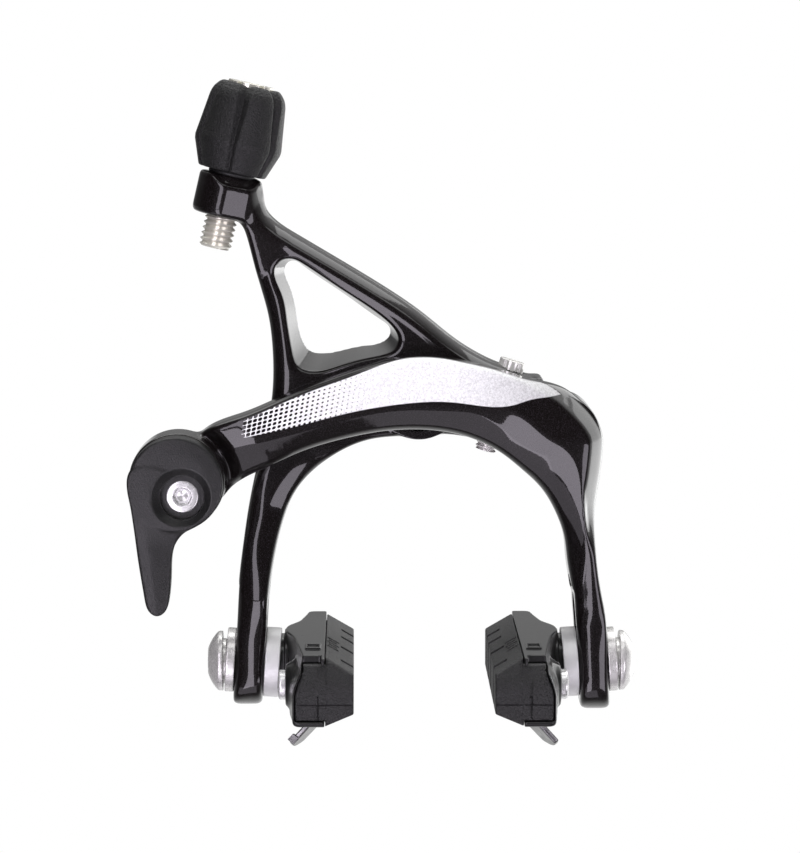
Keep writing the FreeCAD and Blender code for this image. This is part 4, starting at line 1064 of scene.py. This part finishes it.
def knob():
    """Grip with six petals, widest a third of the way up, bored from the top."""

    def shape(s, rho, u, v):
        radius = blurred(s, (-0.4, 0.4), KNOB_LEVELS, KNOB_RADII)
        turn = np.arctan2(v, u) + math.pi / 2 + 0.09
        step = 2.0 * math.pi / KNOB_PETALS
        off = np.abs(turn - step * np.round(turn / step)) * rho
        groove = smooth_max(0.6 + 0.045 * s - 0.9 * off, 0.0, 0.3)
        petal = rho - radius + 0.012 * (0.5 * step * radius - off) ** 2
        wall = smooth_max(petal, (rho - radius + groove) * 0.72, 0.3)
        body = trim(wall, (s - KNOB_HEIGHT + 0.25 * groove, 0.45), (-s, 0.4))
        bore = meet(rho - 4.25, 3.0 - s)
        return meet(body, -bore, 3.1 - rho)

    on_axis("adjuster_grip", COLLAR_FOOT + CABLE_LINE * KNOB_FOOT, CABLE_LINE, 8.1, 0.0, KNOB_HEIGHT,
            shape, 0.24, "adjuster", "black_plastic", ["adjuster_knob"], "knob_plastic")


def barrel():
    """Threaded tube with a notched head that shows in the top of the grip."""
    collar = KNOB_FOOT + 3.05
    top = KNOB_FOOT + KNOB_HEIGHT + 0.4
    foot = -5.8

    def shape(s, rho, u, v):
        lead_in = (rho - 2.5 - (s - foot)) * 0.7
        screw = trim(thread(s, rho, u, v, *M6_THREAD), (lead_in, 0.15), (foot - s, 0.15))
        screw = meet(screw, s - collar - 0.5)
        notch = np.abs(np.sin(3.0 * np.arctan2(v, u))) * 1.3 - 0.42
        notch = smooth_max(notch, top - 1.0 - s, 0.2)
        head = trim(rho - 4.2, (s - top, 0.3), (collar - s, 0.2), (-notch, 0.2))
        well = meet(rho - 2.6, top - 9.0 - s)
        return trim(join(screw, head), (1.0 - rho, 0.2), (-well, 0.2))

    on_axis("adjuster_screw", COLLAR_FOOT, CABLE_LINE, 4.3, foot, top, shape, 0.14,
            "adjuster", "plated_steel", ["adjuster_barrel"], "zinc_thread")


def seal_ring():
    def shape(s, rho, u, v):
        return away(rho, s, (3.75, 0.3)) - 0.42

    on_axis("seal_ring", COLLAR_FOOT + CABLE_LINE * (COLLAR_LENGTH + 0.03), CABLE_LINE, 4.4, -0.1, 0.7,
            shape, 0.12, "adjuster_travel", "seal_rubber", ["adjuster_o_ring"])


def mounting_bolt():
    """Shoulder bolt through both arms; the stud behind the crown is threaded."""
    neck_end, thread_start, plain_end, total = 19.9, 24.5, 25.0, 45.9

    def shape(s, rho, u, v):
        head = trim(rho - 5.5, (s - 2.2, 0.3), (-s, 0.4))
        neck = meet(rho - 3.4, s - neck_end)
        plain = meet(rho - M6_THREAD[0], s - plain_end)
        cut = meet(thread(s, rho, u, v, *M6_THREAD), thread_start - s)
        tip = meet(s - total, (rho - 2.9 + s - total + 0.7) * 0.7)
        stud = meet(join(plain, cut), tip)
        return meet(join(head, neck, stud), -s)

    on_axis("crown_bolt", (0.0, -19.9, 0.0), (0.0, 1.0, 0.0), 5.6, 0.0, total, shape, 0.19,
            "mount", "plated_steel", ["mounting_bolt"], "turned_steel")


def centring_screw():
    """Fluted cap screw with a hexagonal socket."""
    head, length = 3.0, 14.3

    def shape(s, rho, u, v):
        flute = 0.28 * smooth_max(0.0, np.cos(6.0 * np.arctan2(v, u)) * 1.6 - 0.8, 0.3)
        socket = meet(prism6(u, v, 2.5), s + head - 1.9)
        crown = trim((rho - 2.4 + flute) * 0.8, (-head - s, 0.35), (s, 0.15), (-socket, 0.12))
        screw = smooth_max(thread(s, rho, u, v, *M4_THREAD), s - length, 0.4)
        return join(crown, meet(screw, -0.3 - s))

    on_axis("balance_screw", SCREW_SEAT, SCREW_LINE, 2.5, -head, length, shape, 0.13,
            "centring_screw", "plated_steel", ["centring_screw"])


# ---- shoes ----

BALL_R = 8.0
BALL_FIT_R = 7.97
WASHER_SINK = {"inner": 0.7, "outer": 0.4}


class Shoe:
    """Places along a shoe bolt; depth is counted from the foot's middle towards the rim."""

    def __init__(self, side):
        self.side = side
        self.name = "left" if side < 0 else "right"
        self.centre = np.array([side * FOOT_X[side], SHOE_Y, SHOE_Z])
        self.inward = np.array([-side, 0.0, 0.0])
        self.lean = np.array([-side * math.cos(FOOT_SPLAY), 0.0, -math.sin(FOOT_SPLAY)])
        self.body = self.name + "_shoe"
        self.seat = self.name + "_seat"

    def own(self, name):
        return self.name + "_" + name

    def carve(self, name, shape, low, high, step, slot, node):
        """A piece whose field is a function of depth, y and height over the bolt."""

        def field(point):
            x, y, z = point
            return shape(FOOT_X[self.side] - self.side * x, y, z - SHOE_Z)

        ends = sorted([self.side * (FOOT_X[self.side] - corner[0]) for corner in (low, high)])
        box_low = (ends[0], low[1], SHOE_Z + low[2])
        box_high = (ends[1], high[1], SHOE_Z + high[2])
        carve(self.own(name), field, box_low, box_high, step, self.body, slot, [self.own(node)])

    def turned(self, name, base, way, radius, start, stop, shape, step, body, slot, node, finish=None):
        """A round piece of this shoe."""
        on_axis(self.own(name), base, way, radius, start, stop, shape, step,
                body, slot, [self.own(node)], finish)


def seat_washer(shoe, kind, way, radius, height, step, slot, finish):
    """A seat on the foot, dished by the ball that the shoe tilts on."""
    ball_at = WASHER_SINK[kind] + BALL_R

    def shape(s, rho, u, v):
        dish = BALL_R - away(rho, s, (0.0, ball_at))
        return trim(rho - radius, (-s, 0.25), (s - height, 0.35), (3.45 - rho, 0.2), (dish, 0.2))

    shoe.turned("seat_" + kind, shoe.centre + way * FOOT_HALF, way, radius + 0.05, 0.0, height, shape,
                step, shoe.seat, slot, kind + "_washer", finish)


def shoe_bolt(shoe):
    """Domed bolt whose neck fits the outer seat, with a bevelled socket."""
    face = 8.0
    under = 4.95
    ball_at = FOOT_HALF + WASHER_SINK["outer"] + BALL_R - under

    def shape(s, rho, u, v):
        dome = 3.0 - 2.2 * np.clip(rho / 5.45, 0, 1.3) ** 2.4
        head = trim(rho - 5.45, (s - dome, 0.45), (-s, 0.2))
        neck = smooth_max(meet(rho - 4.1, s - 0.3), away(rho, s, (0.0, ball_at)) - BALL_FIT_R, 0.15)
        shank = meet(thread(s, rho, u, v, *SHOE_THREAD), s, -14.75 - s)
        socket = meet(prism6(u, v, 4.0), 0.1 - s)
        bevel = meet((rho - 2.2 - (s - 2.7)) * 0.7, 2.4 - s)
        return smooth_max(join(head, neck, shank), -join(socket, bevel), 0.12)

    shoe.turned("bolt", shoe.centre - shoe.inward * under, -shoe.inward, 5.5, -14.8, face - under,
                shape, 0.16, shoe.body, "bright_steel", "shoe_bolt", "shoe_steel")


def ball_washer(shoe):
    """Stem and flange between the inner seat and the holder, rounded to fit the seat."""
    ball_at = FOOT_HALF + WASHER_SINK["inner"] + BALL_R

    def shape(s, rho, u, v):
        stem = smooth_max(meet(rho - 5.0, 3.1 - s), s - 7.0, 0.1)
        flange = trim(rho - 5.8, (6.35 - s, 0.2), (s - 7.05, 0.2))
        on_ball = away(rho, s, (0.0, ball_at)) - BALL_FIT_R
        return trim(smooth_min(stem, flange, 0.3), (on_ball, 0.2), (3.05 - rho, 0.2))

    shoe.turned("swivel", shoe.centre, shoe.inward, 5.9, 3.0, 7.1, shape, 0.16,
                shoe.body, "bright_steel", "ball_washer", "holder_paint")


HOLDER_HALF = 6.15
HOLDER_FRONT_Y = -52.0
HOLDER_BACK_Y = 1.0
PAD_SCREW = (-38.0, -0.9)
WALL_Y = [-52.0, -49.0, -38.0, -30.0, -26.4, -22.0, -20.0, -16.0, -13.5, -10.5, -3.2, 2.0]
WALL_DEPTH = [10.1, 10.0, 9.1, 8.3, 7.7, 6.6, 6.4, 6.7, 7.7, 8.9, 10.0, 10.6]
PAD_GROOVES = (-42.9, -28.9, -17.9, -9.9)
GUIDE_Y = -44.0
GUIDE_LEAN = math.radians(47.0)


def holder_wall(y, h):
    """Depth of the holder's outer wall: swollen at the bolt, and lower down at the front."""
    plan = blurred(y, (-1.2, 0.0, 1.2), WALL_Y, WALL_DEPTH)
    return plan - 1.9 * ease(-y, 24.0, 44.0) * ease(-h, -6.0, 1.0)


def top_mark(d, y, h):
    """Raised oblong outline on the holder's top."""

    def oblong(half_depth, half_length):
        return meet(np.abs(d - 11.75) - half_depth, np.abs(y + 40.0) - half_length)

    return meet(oblong(1.4, 2.6), -oblong(0.95, 1.7), h - HOLDER_HALF - 0.3, 5.0 - h)


def holder(shoe):
    """Channel that swells out to the bolt, with a curved wall, an open front and a marked top."""

    def shape(d, y, h):
        outer = holder_wall(y, h)
        ends = smooth_max(HOLDER_FRONT_Y - y, y - HOLDER_BACK_Y, 0.5)
        rounding = 0.5 + 1.3 * ease(-h, -1.0, 2.0)
        body = trim((outer - d) * 0.95, (ends, 1.6), (np.abs(h) - HOLDER_HALF, rounding), (d - 13.8, 0.3))
        from_screw = away(y, h, PAD_SCREW)
        boss = trim(from_screw - 4.0 + 0.5 * (7.6 - d), (6.85 - d, 0.5), (d - 9.5, 0.3))
        body = smooth_min(body, boss, 1.5)
        channel = meet(np.abs(h) - 4.75, 10.0 - d, y + 0.5)
        mouth = smooth_max(meet(outer + 0.4 - d, y + 49.8), np.abs(h + 0.15) - 4.95, 0.8)
        notch = meet(np.abs(d - 11.6) - 1.8, 3.6 - h, y + 48.6)
        notch = smooth_max(notch, d - 13.3, 0.6)
        body = trim(body, (-channel, 0.3), (-mouth, 0.3), (-notch, 0.3))
        body = smooth_min(body, top_mark(d, y, h), 0.12)
        screw_hole = meet(from_screw - 1.4, d - 11.5)
        return meet(body, 2.95 - away(y, h, (SHOE_Y, 0.0)), -screw_hole)

    shoe.carve("carrier", shape, (5.5, -52.5, -6.8), (14.3, 1.6, 6.9), 0.26, "holder_paint", "holder")


def mould_line(d, y, h, outer):
    """Thin raised cross on the pad's front end."""
    seam = join(np.abs(h + 2.1), np.abs(d - 12.6)) - 0.07
    return meet(seam, d - 18.7, outer + 0.9 - d, np.abs(h + 1.0) - 3.6, np.abs(y + 51.6) - 0.14)


def top_bars(d, y, h, top):
    """Five raised bars on the pad's top, every other one shorter."""
    bars = []
    for k in range(5):
        half = 0.7 if k % 2 else 0.95
        bars.append(meet(np.abs(y + 35.5 - 2.1 * k) - 0.55, np.abs(d - 15.3) - half))
    return meet(join(*bars), np.abs(h - top) - 0.22)


def pad(shoe):
    """Rubber block with water slots, moulded bars and parting lines."""

    def shape(d, y, h):
        outer = holder_wall(y, h)
        base = meet(np.abs(h) - 4.68, 10.06 - d, d - 14.2)
        nose = smooth_max(meet(outer + 0.5 - d, y + 49.85), np.abs(h + 0.15) - 4.85, 0.8)
        nose = smooth_max(meet(nose, d - 14.2), h - 3.5, 0.4)
        top = 5.95 - (d - 13.9) * 0.58
        low = 5.95 - (d - 13.9) * 0.42
        block = trim((h - top) * 0.86, ((-h - low) * 0.92, 0.3), (d - 18.9, 0.35), (13.92 - d, 0.15))
        slant = 0.55 * fold(h - 1.0, 1.6)
        body = trim(join(base, nose, block), ((-51.6 - y + slant) * 0.9, 0.6), (y + 0.8, 0.4))
        for at in PAD_GROOVES:
            body = smooth_max(body, -meet(np.abs(y - at) - 0.85, 16.6 - d), 0.25)
        body = join(body, mould_line(d, y, h, outer), top_bars(d, y, h, top))
        return meet(body, -meet(away(y, h, PAD_SCREW) - 1.45, d - 12.5))

    shoe.carve("brake_block", shape, (8.2, -51.9, -6.1), (19.1, -0.6, 6.3), 0.24, "pad_rubber", "pad")


def pad_screw(shoe):
    shape = head_with_socket(2.65, 1.45, 2.0, 0.95, dome=0.25, edge=0.6, foot_r=1.4, foot_end=3.9)
    base = shoe.centre + shoe.inward * 6.83 + np.array([0.0, PAD_SCREW[0] - SHOE_Y, PAD_SCREW[1]])
    shoe.turned("lock_screw", base, -shoe.inward, 2.7, -3.9, 1.5, shape, 0.12,
                shoe.body, "bright_steel", "pad_screw")


def wheel_guide(shoe):
    """Flat fin that leans out and down, with a small hook on the left one."""

    def shape(d, y, h):
        out, down = 12.3 - d, -HOLDER_HALF - h
        along_fin = out * math.cos(GUIDE_LEAN) + down * math.sin(GUIDE_LEAN)
        off = out * math.sin(GUIDE_LEAN) - down * math.cos(GUIDE_LEAN) + 0.2 * (y - GUIDE_Y)
        tip = 5.9 - 0.03 * (y - GUIDE_Y) ** 2
        sides = np.abs(y - GUIDE_Y) - 6.0 + 0.12 * along_fin
        fin = trim(np.abs(off) - 0.5, (along_fin - tip, 0.4), (-0.9 - along_fin, 0.3), (sides, 0.5))
        if shoe.side > 0:
            return fin
        hook = meet(np.abs(y + 49.0) - 0.6, np.abs(along_fin - 4.4) - 0.7, np.abs(off - 0.2) - 0.7)
        return smooth_min(fin, hook, 0.3)

    shoe.carve("rim_guide", shape, (5.2, -50.6, -12.0), (12.8, -37.4, -5.2), 0.17,
               "polished_alloy", "wheel_guide")


def shoes():
    for side in (-1, 1):
        shoe = Shoe(side)
        seat_washer(shoe, "inner", shoe.lean, 6.35, 2.7, 0.18, "satin_alloy", "satin_alloy")
        seat_washer(shoe, "outer", -shoe.lean, 5.85, 1.6, 0.16, "bright_steel", "shoe_steel")
        for build in (shoe_bolt, ball_washer, holder, pad, pad_screw, wheel_guide):
            build(shoe)


# ---- stage, light and camera ----

CENTRE = (-0.004, -0.018, 0.0)
VIOLET = (1.0, 0.93, 1.05)
WHITE = (1.0, 1.0, 1.0)
# Name, place, aim, size, radiance, colour.
LIGHTS = [
    ("left_low", (-0.319, -0.953, -0.447), CENTRE, (0.45, 0.84), 4.0, VIOLET),
    ("left_high", (-0.35, -0.95, 0.3), CENTRE, (0.3, 0.66), 3.4, VIOLET),
    ("right_low", (0.636, -0.815, -0.376), CENTRE, (0.62, 0.6), 3.2, VIOLET),
    ("under_front", (-0.42, -0.5, -0.8), (-0.42, -0.018, 0.0), (1.1, 0.5), 0.9, VIOLET),
    ("top_back", (0.0, 0.25, 1.1), CENTRE, (1.6, 0.7), 2.4, WHITE),
    ("top_front", (0.15, -0.5, 0.95), CENTRE, (1.4, 0.3), 1.6, WHITE),
    ("right_back", (0.72, 0.78, 0.1), CENTRE, (0.8, 1.2), 1.5, WHITE),
    ("front_fill", (0.1, -1.0, 0.7), CENTRE, (1.0, 0.7), 3.9, WHITE),
]
UNMIRRORED = ("front_fill",)

# Brightness of the room by the three parts of a direction, as (part, brightness) stops.
ROOM_DEPTH = [(-1.0, 0.03), (-0.1, 0.1), (0.4, 1.0), (0.8, 1.0), (1.0, 0.75)]
ROOM_SIDE = [(-0.7, 0.25), (-0.05, 1.0)]
ROOM_RISE = [(-0.04, 1.0), (0.03, 0.28), (0.28, 0.3), (0.7, 1.0)]

CAMERA_TARGET = Vector((-3.4, -17.0, -5.5)) * MM
CAMERA_DISTANCE = 0.65
CAMERA_AZIMUTH = math.radians(-0.7)
CAMERA_ELEVATION = math.radians(6.0)
CAMERA_LENS = 150.88
SENSOR_WIDTH = 36.0

FLOOR_HALF = 3.0
FLOOR_GAP = 0.012


def point_at(thing, place, way):
    thing.location = place
    thing.rotation_euler = way.to_track_quat("-Z", "Y").to_euler()


def soft_light(name, place, aim, size, radiance, colour):
    """A rectangular softbox that the camera doesn't see."""
    lamp = bpy.data.lights.new(name, "AREA")
    lamp.shape = "RECTANGLE"
    lamp.size, lamp.size_y = size
    lamp.energy = radiance * math.pi * size[0] * size[1]
    lamp.color = colour
    thing = place_object(name, lamp)
    point_at(thing, place, Vector(aim) - Vector(place))
    thing.visible_camera = False
    thing.visible_glossy = name not in UNMIRRORED


def dial(nodes, part, stops):
    """Brightness as a function of one part of a direction."""
    ramp = nodes.add("ValToRGB")
    nodes.give(ramp.inputs[0], nodes.math("MULTIPLY_ADD", part, 0.5, 0.5))
    marks = ramp.color_ramp.elements
    for mark, (at, value) in zip(marks, (stops[0], stops[-1])):
        mark.position, mark.color = 0.5 + 0.5 * at, grey(value)
    for at, value in stops[1:-1]:
        marks.new(0.5 + 0.5 * at).color = grey(value)
    return ramp.outputs[0]


def surroundings():
    """Bright behind the object, dark in front, dimmer on the left and just above the horizon."""
    world = bpy.data.worlds.new("studio")
    bpy.context.scene.world = world
    world.use_nodes = True
    nodes = Nodes(world.node_tree)
    x, y, z = nodes.axes("Generated")
    room = dial(nodes, y, ROOM_DEPTH)
    for part, stops in ((x, ROOM_SIDE), (z, ROOM_RISE)):
        room = nodes.mix(1.0, room, dial(nodes, part, stops), "MULTIPLY")
    seen = nodes.mix(nodes.add("LightPath").outputs["Is Camera Ray"], room, grey(1.0))
    nodes.give(world.node_tree.nodes["Background"].inputs["Color"], seen)


def floor():
    """A floor under the object, white from above and clear from below."""
    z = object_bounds()[0][2] - FLOOR_GAP
    corners = [(x * FLOOR_HALF, y * FLOOR_HALF, z) for x, y in ((-1, -1), (1, -1), (1, 1), (-1, 1))]
    mesh = bpy.data.meshes.new("floor")
    mesh.from_pydata(corners, [], [(0, 1, 2, 3)])
    thing = place_object("floor", mesh)
    material = bpy.data.materials.new("floor_white")
    material.use_nodes = True
    nodes = Nodes(material.node_tree)
    nodes.tree.nodes.clear()
    mix = nodes.add("MixShader")
    nodes.give(mix.inputs[0], nodes.add("NewGeometry").outputs["Backfacing"])
    nodes.give(mix.inputs[1], nodes.fill(nodes.add("Emission"), Strength=1.0).outputs[0])
    nodes.give(mix.inputs[2], nodes.add("BsdfTransparent").outputs[0])
    nodes.give(nodes.add("OutputMaterial").inputs[0], mix.outputs[0])
    mesh.materials.append(material)
    thing.visible_glossy = False
    thing.visible_diffuse = False
    thing.visible_shadow = False
    thing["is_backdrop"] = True


def camera():
    """Looks from the front, 650 mm away, a little above and slightly from the left."""
    level = math.cos(CAMERA_ELEVATION)
    way = Vector((
        -math.sin(CAMERA_AZIMUTH) * level,
        math.cos(CAMERA_AZIMUTH) * level,
        -math.sin(CAMERA_ELEVATION),
    ))
    lens = bpy.data.cameras.new("camera")
    lens.sensor_width = SENSOR_WIDTH
    lens.lens = CAMERA_LENS
    lens.clip_start = 0.01
    thing = place_object("camera", lens)
    point_at(thing, CAMERA_TARGET - way * CAMERA_DISTANCE, way)
    bpy.context.scene.camera = thing
    bpy.context.scene.view_settings.view_transform = "Standard"


dress_nodes()
front_arm()
rear_arm()
qr_lever()
anchor_bolt()
knob()
barrel()
seal_ring()
mounting_bolt()
centring_screw()
shoes()
surroundings()
for light in LIGHTS:
    soft_light(*light)
floor()
camera()
